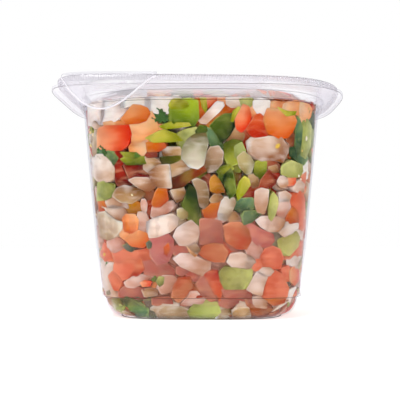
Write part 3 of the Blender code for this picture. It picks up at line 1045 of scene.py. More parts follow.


# %% [markdown]
# ## The pieces that the photograph shows
#
# The front of the tub is packed one piece at a time, from a list. Each line gives the kind and palette
# of one piece, the way its colour deepens (0 is to the right and 90 is up), how many millimetres it
# lies behind the wall, and the corners of its outline as pixels of the photograph. A pixel only says
# where a line of sight goes: the piece itself lies on the wall that the sight line meets, so it looks
# right from every other side too.
# Round the two front corners the sight lines only graze the wall, and there an outline is cut to about
# the width of a dice.

# %% Front pieces
SHOWN = (
    # under the lid and along the top
    ("strip", "lime", -60, 0.0, "168,105 171,99 180,98 187,101 189,106 182,109 170,109"),
    ("green", "green_bright", -100, 0.1, "171,109 174,101 190,98 198,100 199,118 194,126 172,123"),
    ("strip", "lime", 200, 0.1, "162,126 172,121 195,121 194,125 178,128 165,129"),
    ("onion", "white", 220, 0.0, "198,120 200,119 216,101 223,102 224,106 219,112 206,124 200,123"),
    ("tomato", "tomato", 0, 0.0,
     "93,135 97,128 105,125 121,125 129,124 132,134 128,145 121,150 104,151 96,147"),
    ("tomato", "tomato_bright", -50, 0.1,
     "120,119 125,112 132,104 140,104 147,107 150,113 146,120 138,123 127,124"),
    ("tomato", "tomato_pale", -60, 0.5,
     "129,124 140,122 150,112 155,121 157,130 150,137 146,146 132,146 132,134"),
    ("tomato", "tomato_pale", 180, 0.4, "128,147 132,141 146,141 147,149 143,156 135,157 129,152"),
    ("onion", "snow", -60, 0.5, "88,104 100,101 104,102 103,114 100,124 88,123"),
    ("onion", "snow", -60, 0.6, "103,101 121,102 123,113 114,121 101,124 101,113"),
    ("onion", "snow", -60, 0.4, "120,97 148,96 148,109 132,106 120,108"),
    ("onion", "snow", -60, 0.7, "146,96 172,97 171,113 156,113 146,108"),
    ("strip", "snow", 90, 0.8, "103,114 107,114 109,124 104,124"),
    ("tomato", "tomato_pale", 0, 0.6, "103,122 110,119 120,121 125,124 112,127 104,127"),
    ("onion", "onion_blush", 0, 0.8, "90,125 93,121 98,121 101,124 99,128 94,129"),
    ("tomato", "tomato_pale", -30, 0.9, "150,121 157,124 166,125 162,131 153,133 148,128"),
    ("strip", "lime", -20, 0.1, "148,138 155,132 164,129 175,133 183,140 168,142 152,142"),
    ("tomato", "orange", -30, 0.3, "146,142 164,141 166,147 158,151 147,151"),
    ("tomato", "wine", 0, 0.5, "143,153 148,149 157,151 157,157 148,158"),
    ("tomato", "orange", -90, 1.0, "196,99 200,98 205,112 201,120 196,122"),
    ("green", "lime", -90, 0.8, "200,98 206,98 207,106 206,113 202,107"),
    ("tomato", "tomato", -60, 1.1, "206,98 217,97 216,103 208,108"),
    ("green", "green_dark", -30, 0.2,
     "210,126 216,119 224,114 232,114 235,122 234,128 228,137 221,142 216,134"),
    ("tomato", "orange", 0, 1.3, "206,126 216,113 224,106 232,104 239,108 233,115 222,115 211,127"),
    ("tomato", "tomato_pale", -60, 1.5, "216,98 227,97 230,106 222,105 215,101"),
    ("onion", "white", -60, 1.0, "227,98 240,95 247,99 242,106 232,107 228,104"),
    ("strip", "green_soft", 0, 0.9, "240,99 250,98 255,102 250,107 242,106"),
    ("strip", "lime", 200, 0.1, "231,121 233,111 239,106 241,108 237,115 234,122"),
    ("tomato", "tomato", -60, 0.4, "235,120 238,111 243,104 249,107 252,117 249,126 242,132 237,128"),
    ("onion", "snow", -60, 0.6, "254,101 262,98 270,101 269,109 264,115 257,113 254,107"),
    ("tomato", "tomato_pale", -60, 0.9, "248,103 254,102 259,113 255,119 250,113"),
    ("tomato", "tomato_red", -70, 0.3,
     "246,129 252,121 255,116 261,114 265,118 269,130 266,140 257,140 250,134"),
    ("tomato", "tomato_bright", -80, 0.1,
     "264,118 268,109 280,108 286,117 295,115 298,121 294,132 289,137 281,138 268,133"),
    ("strip", "lime", 0, 0.4, "279,107 288,111 297,111 294,117 288,119 283,115"),
    ("tomato", "tomato_pale", -30, 0.8, "266,103 276,101 286,103 285,110 269,110"),
    ("tomato", "tomato_pale", 0, 0.7, "285,104 298,101 303,104 302,115 293,114 284,110"),
    ("tomato", "tomato_pale", -20, 0.5, "301,102 309,104 313,109 311,117 305,124 301,120 300,110"),
    ("strip", "teal", -90, 0.2, "296,121 300,118 303,128 302,140 300,152 297,157 295,146 296,132"),
    ("strip", "green_soft", 180, 0.4, "303,122 308,120 312,127 311,145 306,158 301,154 303,140"),
    ("tomato", "brown", 0, 0.9, "287,137 294,133 298,140 296,149 290,148"),
    ("tomato", "orange", -60, 1.4, "262,130 272,129 276,137 266,139"),
    ("tomato", "rust", -90, 1.5, "240,131 250,131 254,146 246,153 241,143"),
    ("onion", "khaki", -90, 1.2, "229,131 236,128 244,134 243,141 228,142"),
    ("green", "green", 100, 0.4, "224,145 233,140 242,142 243,153 239,163 230,166 225,158"),
    ("green", "green_pale", -90, 0.3, "235,146 242,142 247,151 241,159 235,157"),
    # second row
    ("green", "teal", -90, 0.4, "92,154 96,149 103,148 112,152 117,158 112,165 105,158 97,154"),
    ("onion", "white", -30, 0.0, "92,158 97,154 103,154 110,162 113,168 113,178 107,182 97,181 92,174"),
    ("tomato", "wine", -30, 0.8,
     "112,163 116,151 122,150 126,158 121,166 126,176 130,182 124,187 116,184 113,174"),
    ("tomato", "wine", 0, 1.2, "123,165 144,164 147,172 148,178 128,179"),
    ("strip", "green", 0, 0.1, "120,152 134,152 141,156 133,159 124,157"),
    ("green", "green", -60, 0.3, "120,159 127,156 144,156 145,164 126,165"),
    ("onion", "onion_warm", 200, 0.0, "147,172 157,165 169,164 171,188 158,188 150,181"),
    ("onion", "khaki", -60, 0.5, "144,157 152,156 161,163 156,167 148,172 143,168"),
    ("onion", "onion_warm", -30, 0.2, "128,180 134,177 147,177 156,186 150,191 139,189"),
    ("onion", "khaki", 60, 0.1, "111,196 115,188 123,185 139,189 146,194 139,199 131,204 119,202"),
    ("green", "green_pale", 0, 0.0, "92,187 97,182 104,181 115,185 111,197 105,200 96,200 93,194"),
    ("tomato", "orange", -40, 0.2, "151,203 154,192 158,187 166,187 168,200 160,207 153,208"),
    ("tomato", "brown", -60, 1.1, "142,190 152,187 154,196 151,203 145,200"),
    ("onion", "khaki", 180, 0.3, "161,147 182,147 182,155 163,156"),
    ("green", "olive", 180, 0.4, "160,157 174,155 183,155 178,161 171,164 161,164"),
    ("onion", "khaki", -30, 0.6, "169,165 181,160 191,167 186,173 180,179 170,179"),
    ("strip", "rust", 180, 0.4,
     "171,188 172,179 184,173 194,168 207,162 209,169 200,175 190,181 182,187"),
    ("green", "green_soft", 180, 0.2, "176,135 183,130 196,127 199,131 192,138 186,146 181,149"),
    ("green", "green_dark", -90, 0.1, "195,131 200,125 207,126 208,131 203,135 196,134"),
    ("onion", "onion_shaded", 90, 0.0,
     "181,158 182,148 187,139 195,134 206,133 209,142 206,156 204,165 198,169 189,167"),
    ("onion", "onion_grey", -120, 0.1, "207,152 211,147 219,146 224,152 223,163 217,170 209,173 205,166"),
    ("green", "teal", -60, 0.5, "206,127 213,130 220,138 223,147 213,148 208,141"),
    ("tomato", "yellow", -20, 0.0, "209,182 211,177 215,174 220,179 224,187 225,192 217,194 210,191"),
    ("tomato", "wine", 180, 0.7, "202,178 209,174 212,180 209,191 204,188"),
    ("green", "olive", 0, 1.0, "195,174 206,171 208,178 201,181 195,179"),
    ("strip", "green_dark", 180, 0.1, "225,174 231,168 234,176 237,192 230,199 226,191 223,178"),
    ("green", "green", 180, 0.2, "216,172 219,167 230,164 234,169 226,173 222,175"),
    ("green", "green_dark", -60, 1.0, "219,172 226,171 228,185 224,185 219,178"),
    ("tomato", "olive", 0, 2.0, "232,172 241,171 241,185 235,185"),
    ("green", "olive", 0, 1.2, "226,160 236,161 242,167 240,172 232,170"),
    ("onion", "onion_green", -45, 0.1, "238,157 245,151 252,156 256,163 252,173 247,174 240,167"),
    ("green", "green", -90, 0.6, "254,164 260,160 267,162 266,173 261,178 255,174"),
    ("tomato", "brown", 0, 1.0, "265,161 276,160 282,167 276,172 268,168"),
    ("onion", "khaki", -60, 0.8, "269,167 277,165 280,172 270,173"),
    ("tomato", "rust", -10, 0.3, "259,188 262,179 269,169 273,173 279,173 280,178 271,188"),
    ("onion", "onion_blush", -60, 0.0, "277,181 280,176 284,175 288,178 289,184 285,188 280,187"),
    ("onion", "onion_warm", -60, 0.0,
     "251,142 256,138 270,136 283,137 291,145 290,153 285,162 272,160 262,161 253,153"),
    ("green", "green_soft", -60, 0.0, "281,168 285,163 292,160 302,164 304,171 300,177 289,177 282,174"),
    ("tomato", "tomato", 0, 0.6, "288,178 297,177 296,185 289,186"),
    ("onion", "onion_blush", 0, 0.2, "296,184 300,179 305,184 304,192 298,193 294,188"),
    ("tomato", "tomato_pink", -90, 0.5, "302,176 307,173 310,184 310,194 304,198 302,187"),
    ("green", "teal", 180, 0.4, "291,149 297,147 305,150 309,158 304,165 298,161 293,156"),
    ("onion", "snow", 0, 0.9, "303,162 309,157 313,169 309,177 304,174"),
    ("strip", "lime", 220, 0.0, "236,192 240,181 245,176 250,179 251,185 245,194 238,201"),
    ("tomato", "rust", -90, 0.9, "246,190 253,181 258,184 257,197 249,200 243,197"),
    ("onion", "khaki", -60, 0.8, "249,175 258,174 260,185 254,188 250,183"),
    ("green", "teal", -90, 0.7, "235,206 240,199 252,198 257,205 250,211 239,212"),
    ("onion", "onion_blush", -90, 0.1, "256,191 262,188 270,190 269,203 265,214 258,212 255,203"),
    ("strip", "green_soft", 180, 0.0, "269,206 271,196 274,192 278,197 279,204 276,215 272,221 269,218"),
    ("onion", "onion_blush", 0, 0.4, "280,193 286,191 292,195 290,201 280,201"),
    ("onion", "onion_pink", -60, 0.7, "277,200 289,199 291,207 287,218 278,216"),
    ("tomato", "tomato_pink", 180, 0.1,
     "292,204 296,195 300,191 305,197 309,210 306,226 303,231 299,228 299,214 296,208"),
    ("tomato", "orange", -30, 0.2, "286,219 289,212 293,207 299,211 300,223 290,223"),
    # third row
    ("tomato", "orange", -90, 0.5, "97,200 103,199 106,207 104,213 98,211"),
    ("onion", "onion_warm", -30, 0.4, "104,208 113,205 124,208 127,214 121,222 113,219 107,214"),
    ("onion", "onion_warm", 0, 0.6, "104,199 112,197 125,201 127,208 113,208 105,207"),
    ("onion", "onion", -150, 0.0,
     "97,219 98,212 105,211 114,219 122,222 121,229 115,237 107,240 100,237"),
    ("tomato", "tomato_bright", -120, 0.1, "121,218 125,214 134,214 138,220 137,229 131,234 123,231"),
    ("tomato", "tomato_pale", -60, 0.5, "119,222 126,222 129,233 125,241 119,236"),
    ("onion", "onion_pink", -60, 0.4, "137,212 145,212 149,222 147,232 139,232 136,222"),
    ("onion", "onion_pink", -90, 0.0, "140,203 141,199 145,199 147,204 146,211 143,213 140,209"),
    ("tomato", "rust", -60, 0.9, "146,202 153,199 154,209 150,218 146,214"),
    ("tomato", "yellow", -90, 0.7, "124,205 133,200 142,205 140,212 131,215 125,212"),
    ("tomato", "tomato_bright", -60, 0.1, "124,239 130,233 138,230 147,233 148,242 143,248 130,246"),
    ("green", "gap_shade", 0, 0.0, "121,245 126,243 135,249 131,252 126,250"),
    ("green", "gap_shade", 0, 0.0, "145,243 149,240 152,243 151,248 147,249"),
    ("onion", "white", -40, 0.0,
     "146,222 153,218 162,215 172,214 179,218 178,226 170,232 157,237 149,238 146,231"),
    ("onion", "onion_pink", -30, 0.2, "150,217 152,207 160,202 171,202 173,208 164,215 156,218"),
    ("onion", "white", -40, 0.0,
     "172,236 176,228 184,223 191,220 198,226 199,234 195,243 187,246 179,245"),
    ("onion", "onion_green", 0, 0.3, "177,210 181,208 188,212 188,217 182,220 177,217"),
    ("onion", "onion_grey", 0, 0.7, "172,217 182,216 187,222 178,228"),
    ("onion", "onion_grey", -60, 0.0, "187,247 195,242 201,250 197,255"),
    ("strip", "tomato_pale", 0, 0.0, "186,246 191,248 198,254 195,257 190,253"),
    ("green", "green_dark", 60, 0.4,
     "183,205 186,194 190,188 196,190 199,203 201,215 199,226 192,221 185,214"),
    ("onion", "onion_grey", -60, 0.0, "192,180 197,178 206,182 209,191 209,204 204,209 199,206 197,192"),
    ("onion", "khaki", -60, 0.4, "170,191 175,186 182,186 185,192 182,200 176,202"),
    ("tomato", "orange", -60, 0.2, "202,210 208,207 213,201 221,202 222,212 214,218 205,218"),
    ("onion", "khaki", 0, 0.1, "209,200 214,194 220,193 224,198 219,202 212,203"),
    ("onion", "onion", -30, 0.0, "221,202 225,197 235,198 237,203 232,214 227,221 219,219 218,214"),
    ("green", "teal", 0, 0.1, "243,217 245,211 257,210 265,213 257,218 253,222 245,225"),
    ("onion", "onion_blush", -20, 0.0, "256,220 262,216 275,216 286,219 285,226 278,232 269,232 261,227"),
    ("onion", "white", 180, 0.1, "280,232 287,221 299,223 300,227 293,233 285,237"),
    ("tomato", "flesh", -20, 0.3, "241,225 252,223 262,229 273,234 275,241 268,248 257,245 248,237"),
    ("tomato", "flesh_dull", -60, 0.2, "200,219 211,218 222,221 225,232 222,244 209,245 201,244"),
    ("tomato", "ember", -60, 0.2, "223,226 231,222 240,222 249,229 251,240 246,249 236,248 227,241"),
    ("onion", "khaki", 0, 0.7, "228,214 236,212 242,219 240,225 230,223"),
    ("onion", "onion_pink", 0, 0.3, "213,213 220,213 228,217 224,222 214,221"),
    ("tomato", "flesh", 0, 0.2, "148,239 158,237 167,234 173,240 174,250 168,262 156,266 149,256"),
    ("strip", "tomato_red", -90, 0.0, "163,247 168,242 170,249 167,256 164,254"),
    ("tomato", "flesh_dull", 0, 0.5, "173,246 183,245 191,250 184,255 174,255"),
    ("tomato", "ember", 200, 0.1, "198,253 204,245 214,243 222,244 228,252 225,262 213,262 204,259"),
    ("green", "green_soft", 120, 0.0, "281,241 288,236 297,231 301,237 299,246 290,256 285,253"),
    ("green", "gap_shade", 0, 1.1, "271,233 281,231 283,240 281,248 271,247"),
    ("onion", "onion_pink", -60, 0.3, "245,243 250,239 258,243 263,249 261,258 249,260"),
    ("tomato", "tomato_pink", -100, 0.1,
     "261,256 266,249 273,246 281,249 285,257 282,268 273,269 264,267"),
    ("tomato", "tomato_pink", 0, 0.5, "289,258 296,250 300,242 304,240 306,249 303,258 297,260"),
    ("onion", "white", 0, 0.4, "299,230 305,227 308,236 303,241 299,237"),
    ("onion", "white", 0, 0.2, "290,260 295,256 302,256 305,263 303,270 296,269 291,265"),
    ("onion", "onion_pink", -30, 0.3, "106,241 115,237 123,241 123,248 114,253 107,250"),
    ("tomato", "tomato_pink", -60, 0.2, "97,245 104,242 110,251 113,261 105,262 99,254"),
    ("tomato", "tomato_pink", 0, 0.4, "109,252 122,249 135,251 148,248 149,259 134,263 114,264"),
    # fourth row, in the juice
    ("onion", "white", -90, 0.3,
     "100,264 106,262 112,266 110,273 108,279 113,290 114,296 106,296 102,284"),
    ("tomato", "tomato_pink", 0, 0.2, "113,263 128,259 137,261 137,273 126,278 119,281 112,272"),
    ("tomato", "tomato_red", -90, 0.1, "135,262 141,258 143,270 137,276 127,279 134,270"),
    ("tomato", "tomato_pink", -60, 0.0, "107,276 112,271 118,276 122,282 118,291 113,289"),
    ("tomato", "flesh_dull", 0, 0.6, "141,258 152,255 164,262 173,270 171,281 158,277 145,275"),
    ("onion", "onion_pink", 0, 0.1, "122,282 131,277 141,274 149,277 143,283 133,288 125,287"),
    ("tomato", "tomato", 0, 0.0, "139,283 144,280 151,282 149,287 141,287"),
    ("tomato", "flesh_dull", -30, 0.4, "117,290 125,286 134,286 144,289 144,298 128,299 118,296"),
    ("onion", "khaki", 0, 0.4, "141,290 149,288 158,290 156,296 144,297"),
    ("green", "green_pale", -90, 0.0, "155,282 158,276 164,277 163,284 159,287"),
    ("onion", "onion_pink", -30, 0.4, "162,276 172,276 178,281 173,291 161,294 157,288"),
    ("onion", "onion_blush", -40, 0.0, "172,259 180,253 191,254 207,262 206,270 202,276 190,271 180,267"),
    ("tomato", "flesh_dull", 0, 0.3, "176,267 183,265 189,271 182,276 176,273"),
    ("tomato", "ember", 90, 0.3, "171,298 173,287 178,278 190,277 192,287 185,297 178,302"),
    ("tomato", "flesh_dull", 0, 0.8, "185,272 197,271 203,276 196,282 188,280"),
    ("tomato", "flesh_dull", -60, 0.3, "196,284 203,274 210,283 220,299 211,301 203,295"),
    ("tomato", "brown", -30, 0.7, "189,284 197,285 206,297 197,298 190,292"),
    ("tomato", "tomato_red", 100, 0.1, "204,275 209,271 217,272 224,286 221,301 215,295"),
    ("onion", "onion_pink", -120, 0.0, "187,298 191,291 197,291 206,298 203,303 191,308 179,307"),
    ("tomato", "flesh_dull", 0, 0.3, "217,299 226,296 237,297 239,303 229,308 219,306"),
    ("tomato", "flesh_dull", 0, 0.6, "223,288 240,288 251,291 253,303 240,300 226,298"),
    ("green", "green_pale", 180, 0.0, "219,272 225,267 236,268 249,270 249,280 245,289 225,289 221,281"),
    ("onion", "onion_blush", 0, 0.1, "227,262 231,254 241,252 251,256 257,262 249,268 233,268"),
    ("onion", "khaki", 0, 0.5, "246,264 256,262 260,268 254,274 247,271"),
    ("tomato", "tomato_pink", 0, 0.3, "253,269 257,257 263,256 267,266 260,272"),
    ("onion", "white", -60, 0.0, "247,290 252,281 257,271 268,277 265,286 263,296 255,294"),
    ("onion", "onion_blush", 0, 0.0, "258,272 263,267 271,267 275,271 271,276 265,276"),
    ("tomato", "tomato_pink", 180, 0.1, "264,298 266,287 269,277 276,271 283,273 290,288 287,298"),
    ("tomato", "tomato_pink", -90, 0.5, "282,268 290,266 292,280 285,281"),
    ("green", "gap_shade", 0, 0.7, "282,280 288,278 292,285 286,289"),
    ("tomato", "tomato", 0, 0.1, "289,280 290,270 294,266 299,270 300,279 295,285"),
    ("onion", "onion_warm", -90, 0.5, "298,264 304,264 303,276 300,287 297,285"),
    # round the foot
    ("tomato", "orange", -30, 0.0, "264,299 276,297 289,296 286,303 275,306"),
    ("onion", "onion_blush", -30, 0.2, "250,299 259,296 268,300 268,308 257,307"),
    ("tomato", "brown", -30, 0.4, "249,304 258,306 273,310 277,318 256,319"),
    ("onion", "snow", -60, 0.0, "289,290 297,286 302,290 300,302 290,303"),
    ("onion", "white", -60, 0.0, "272,311 280,305 290,300 300,301 297,310 286,314"),
    ("tomato", "rust", 0, 0.0, "269,313 280,311 283,316 276,319 270,319"),
    ("onion", "khaki", -90, 0.2, "233,310 240,305 250,306 255,318 236,319"),
    ("green", "onion_shaded", 0, 0.0, "107,303 111,298 118,298 122,306 114,310 108,308"),
    ("strip", "green_pale", -90, 0.0, "115,308 119,303 124,307 121,312"),
    ("green", "teal", 180, 0.0, "120,300 127,297 136,302 147,309 144,315 136,317 128,308"),
    ("onion", "khaki", -30, 0.0, "109,310 117,308 132,313 137,318 120,318 111,315"),
    ("green", "gap_shade", -60, 0.5, "142,300 151,298 156,310 154,318 146,317 148,308"),
    ("tomato", "flesh_dull", 0, 0.3, "151,298 170,297 173,305 160,307 152,305"),
    ("onion", "onion_grey", -60, 0.1, "155,309 164,304 178,305 190,309 189,318 163,318"),
    ("green", "green_pale", 220, 0.0, "191,311 197,306 208,302 219,305 222,310 215,319 194,319"),
    ("onion", "onion_grey", 0, 0.3, "220,308 229,306 233,312 231,318 220,318"),
    ("tomato", "brown", 0, 0.7, "227,306 235,303 239,308 235,318 230,315"),
    ("green", "gap_shade", 0, 0.9, "118,294 140,295 152,298 140,303 124,300"),
)


def cut_corners(outline, share):
    """Each corner becomes two points, that share of the way to its neighbours."""
    ring = []
    for i, corner in enumerate(outline):
        ring.append(corner.lerp(outline[i - 1], share))
        ring.append(corner.lerp(outline[(i + 1) % len(outline)], share))
    return ring


# A ring turned this far aside lies round a front corner, where it may be this wide or, if it is tall,
# this many times its height
CORNER_ASIDE = 0.4
CORNER_WIDTH = 12 * MM
CORNER_STRETCH = 1.7


def narrow(ring, left_side):
    """Cuts off what lies more than a piece's width further round the corner."""
    widest = max(CORNER_WIDTH, CORNER_STRETCH * np.ptp(ring[:, 1]))
    across = ring[:, 0]
    if left_side:
        ring[:, 0] = np.maximum(across, across.max() - widest)
    else:
        ring[:, 0] = np.minimum(across, across.min() + widest)
    return ring


# Painted shade and light on the front pieces: their colours are darkened by SHOWN_SHADE, and the
# snow-white ones lightened by SNOW_SHADE
SHOWN_SHADE = 0.88
SNOW_SHADE = 1.08
CORNER_CUT = 0.08
LOWEST_MIDDLE = 3 * MM
# How far a front stands out beyond the wall before it is pressed flat, how fast it sinks with the
# millimetres behind, and by how much each piece lies behind the one before it
PIECE_FRONT = 0.8 * MM
SINKING = 0.8
HAIR = 0.001 * MM
taken = []
narrowed = 0
for kind, palette, flow, behind, corners in SHOWN:
    pixels = [[float(number) for number in pair.split(",")] for pair in corners.split()]
    spots = [spot for spot, _ in (wall_behind_pixel(*pixel) for pixel in pixels) if spot is not None]
    middle = sum(spots, Vector()) / len(spots)
    wall_point, out = wall_spot(math.atan2(middle.y, middle.x), max(middle.z, LOWEST_MIDDLE))
    right = Vector((0, 0, 1)).cross(out).normalized()
    upward = out.cross(right)
    ways = [spot - wall_point for spot in spots]
    outline = [Vector((way.dot(right), way.dot(upward))) for way in ways]
    ring = np.array(cut_corners(outline, CORNER_CUT))
    if abs(out.x) > CORNER_ASIDE:
        seen_width = np.ptp(ring[:, 0])
        ring = narrow(ring, middle.x < 0)
        narrowed += np.ptp(ring[:, 0]) < seen_width
    low, high = ring.min(axis=0), ring.max(axis=0)
    middle = wall_point + right * (low[0] + high[0]) / 2 + upward * (low[1] + high[1]) / 2
    ring = (ring - (low + high) / 2) / ((high - low) / 2)
    thickness = CUTS[kind][1][2] * MM * draw.uniform(0.8, 1.1)
    overlap = 1.02 + 0.12 * min(behind, 1.0)
    size = (*(high - low) * overlap, thickness)
    centre = middle - out * (thickness / 2 - PIECE_FRONT + behind * MM * SINKING)
    back = 0.5 * behind * MM + HAIR * len(taken)
    shade = SNOW_SHADE if palette == "snow" else SHOWN_SHADE
    cut(kind, palette, centre, out, size, 0, 0.03, back, shade, ring, math.radians(flow))
    round_the_wall = length_at(math.atan2(middle.y, middle.x))
    taken.append((round_the_wall, middle.z, math.sqrt(size[0] * size[1]) / 2))

# The same for pieces under the lid's raised panel, seen through its groove: their left and right columns
UNDER_PANEL = (
    ("tomato", "tomato_pale", 148, 172), ("green", "green", 173, 193), ("tomato", "tomato", 193, 203),
    ("green", "green_pale", 203, 223), ("onion", "snow", 226, 247), ("tomato", "tomato_bright", 249, 276),
)
UNDER_PANEL_ROW = 93.5
UNDER_PANEL_Y = -46.5 * MM
UNDER_PANEL_WAY = Vector((0, -0.9, 0.45)).normalized()
UNDER_PANEL_TALL, UNDER_PANEL_THICK = 8.0 * MM, 3.2 * MM
COLUMN_WIDTH = 0.5 * MM
for kind, palette, left, right in UNDER_PANEL:
    start, along = photo_ray((left + right) / 2, UNDER_PANEL_ROW)
    spot = start + along * ((UNDER_PANEL_Y - start.y) / along.y)
    size = ((right - left) * COLUMN_WIDTH, UNDER_PANEL_TALL, UNDER_PANEL_THICK)
    cut(kind, palette, spot, UNDER_PANEL_WAY, size, 0, 0.1)
print(len(taken), "pieces placed from the photograph,", narrowed, "of them narrowed at the corners")

# %% [markdown]
# ## Packing the rest
#
# The other sides, the top and the base follow the same look by rule. Darts are thrown at the wall,
# rolled out flat, and a dart is kept where its piece has room next to those already there. Large
# pieces go first and small ones fill in. Two looser layers lie behind the first, so that a gap shows
# more food and not a hole, and their colours are darkened as painted shade. The shares of the kinds
# follow the photograph: mostly onion and tomato, then green pepper, with a few odd bits, and in the
# juice more that is pink.

# %% Throwing darts
JUICY_Z = 50 * MM
# The lowest and the highest place of a piece on the wall
PACK_LOW_Z, PACK_HIGH_Z = 2.5 * MM, 103 * MM
# A spot that lies further forward than this share of its way aside is on the photograph's side
FRONT_SHARE = 0.95
# How far a front stands out before it is pressed, and the shares of the depth and of the way behind
# that it stays back
DART_FRONT = 0.4 * MM
BACK_BY_DEPTH, BACK_BY_WAY = 0.4, 0.3
# Kind, palette, share above the juice and share in it
SHARES = (
    ("onion", "onion", 0.20, 0.08),
    ("onion", "onion_warm", 0.15, 0.04),
    ("onion", "onion_green", 0.05, 0.02),
    ("onion", "onion_pink", 0.04, 0.22),
    ("tomato", "tomato", 0.17, 0.18),
    ("tomato", "tomato_pale", 0.06, 0.04),
    ("tomato", "tomato_red", 0.05, 0.04),
    ("tomato", "flesh", 0.02, 0.20),
    ("tomato", "orange", 0.06, 0.03),
    ("green", "green", 0.06, 0.03),
    ("green", "green_pale", 0.05, 0.06),
    ("green", "green_dark", 0.03, 0.01),
    ("green", "teal", 0.02, 0.01),
    ("strip", "green", 0.02, 0.01),
    ("strip", "lime", 0.02, 0.01),
)


def random_kind(height):
    """A kind, a palette and a size, drawn from the shares at that height."""
    weights = [low if height < JUICY_Z else high for *_, high, low in SHARES]
    kind, palette, *_ = draw.choices(SHARES, weights=weights)[0]
    scale = draw.uniform(0.95, 1.5) * MM
    return kind, palette, tuple(side * scale * draw.uniform(0.88, 1.12) for side in CUTS[kind][1])


def has_room(place, radius, others, closeness):
    """Whether a piece fits there on the map between the others."""
    for along, up, other in others:
        gap = abs(place[0] - along)
        gap = min(gap, WALL_ROUND - gap)
        if gap * gap + (place[1] - up) ** 2 < (closeness * (radius + other)) ** 2:
            return False
    return True


def hand_packed(spot):
    """Whether a spot of the wall is on the side that the photograph shows."""
    return spot.y < -FRONT_SHARE * abs(spot.x)


def kept_clear(spot, height, room):
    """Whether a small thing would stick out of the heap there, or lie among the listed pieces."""
    return height + room > heap_top(spot.x, spot.y) or hand_packed(spot)


def pack_wall(tries, depth, closeness, lean, shade, others):
    """Pieces on the wall, or that deep behind it, wherever there is room."""
    made = 0
    for number in range(tries):
        along, height = draw.uniform(0, WALL_ROUND), draw.uniform(PACK_LOW_Z, PACK_HIGH_Z)
        kind, palette, size = random_kind(height)
        shrink = mix(1.05, 0.6, number / tries)
        size = tuple(side * shrink for side in size)
        radius = math.sqrt(size[0] * size[1]) / 2
        if not has_room((along, height), radius, others, closeness):
            continue
        spot, out = wall_spot(angle_at(along), min(height, SEAT_Z))
        spot.z = height
        if height + radius * 0.7 > heap_top(spot.x, spot.y) or (depth == 0 and hand_packed(spot)):
            continue
        others.append((along, height, radius))
        behind = 0.2 * MM + abs(draw.gauss(0, 0.8)) * MM
        centre = spot - out * (size[2] / 2 - DART_FRONT + depth + behind)
        back = BACK_BY_WAY * behind + BACK_BY_DEPTH * depth
        cut(kind, palette, centre, out, size, lean=lean, back=back, shade=shade)
        made += 1
    return made


# The front layer takes the front pieces' painted shade, and the deeper layers are darkened further, to
# 0.7 and 0.35, as painted shade
front_layer = pack_wall(9000, 0.0, closeness=0.74, lean=0.25, shade=SHOWN_SHADE, others=taken)
second_layer = pack_wall(5000, 3.0 * MM, closeness=0.66, lean=0.4, shade=0.7, others=[])
third_layer = pack_wall(2500, 8.0 * MM, closeness=0.75, lean=0.5, shade=0.35, others=[])
print("wall layers:", front_layer, second_layer, third_layer)


# %% The top and the base
LEVEL_POWER = 3.2
LEVEL_BACK = 1.2 * MM


def pack_level(tries, out, height_at, reach, closeness, lean):
    """Pieces spread over a level part of the heap."""
    others, made = [], 0
    for _ in range(tries):
        kind, palette, size = random_kind(HEAP_TOP_Z if out.z > 0 else 0)
        x, y = draw.uniform(-reach, reach), draw.uniform(-reach, reach)
        if (abs(x) ** LEVEL_POWER + abs(y) ** LEVEL_POWER) ** (1 / LEVEL_POWER) > reach:
            continue
        radius = math.sqrt(size[0] * size[1]) / 2
        if any(math.hypot(x - a, y - b) < closeness * (radius + r) for a, b, r in others):
            continue
        others.append((x, y, radius))
        centre = Vector((x, y, height_at(x, y) - out.z * size[2] / 2))
        cut(kind, palette, centre, out, size, lean=lean, back=LEVEL_BACK)
        made += 1
    return made


up, down = Vector((0, 0, 1)), Vector((0, 0, -1))
top_layer = pack_level(2500, up, heap_top, 52 * MM, closeness=0.78, lean=0.5)
under_top = pack_level(1500, up, lambda x, y: heap_top(x, y) - 6 * MM, 50 * MM, closeness=0.85, lean=0.5)
base_layer = pack_level(1500, down, lambda x, y: FLOOR_Z, 38 * MM, closeness=0.80, lean=0.15)
print("top and base:", top_layer, under_top, base_layer)

# %% [markdown]
# ## Crumbs, seeds and leaves
#
# Dicing leaves crumbs, and tomatoes shed their seeds. Both collect in the gaps. Coriander leaves are
# thin, lobed and crumpled, and lie flat where the wall presses them. On the side that the photograph
# shows, only the seeds and leaves that can be seen there are placed.

# %% Crumbs
SMALLEST_CRUMB = 1.2 * MM


def add_crumbs(count):
    for _ in range(count):
        height = draw.uniform(PACK_LOW_Z, PACK_HIGH_Z)
        kind, palette, size = random_kind(height)
        scale = draw.uniform(0.25, 0.42)
        size = tuple(max(side * scale, SMALLEST_CRUMB) for side in size)
        spot, out = wall_spot(draw.uniform(0, math.tau), height)
        if kept_clear(spot, height, 2 * MM):
            continue
        behind = draw.uniform(0.8, 3.5) * MM
        back = BACK_BY_WAY * behind
        # Crumbs lie behind the front pieces, and their colour is darkened by 0.8 as painted shade
        cut(kind, palette, spot - out * behind, out, size, lean=0.6, back=back, shade=0.8)


add_crumbs(160)

# %% Seeds
SEED_SIZE = (2.7 * MM, 1.9 * MM, 0.9 * MM)


def sort_faces(faces):
    """The quads and the triangles among the faces."""
    return tuple(np.array([face for face in faces if len(face) == corners]) for corners in (4, 3))


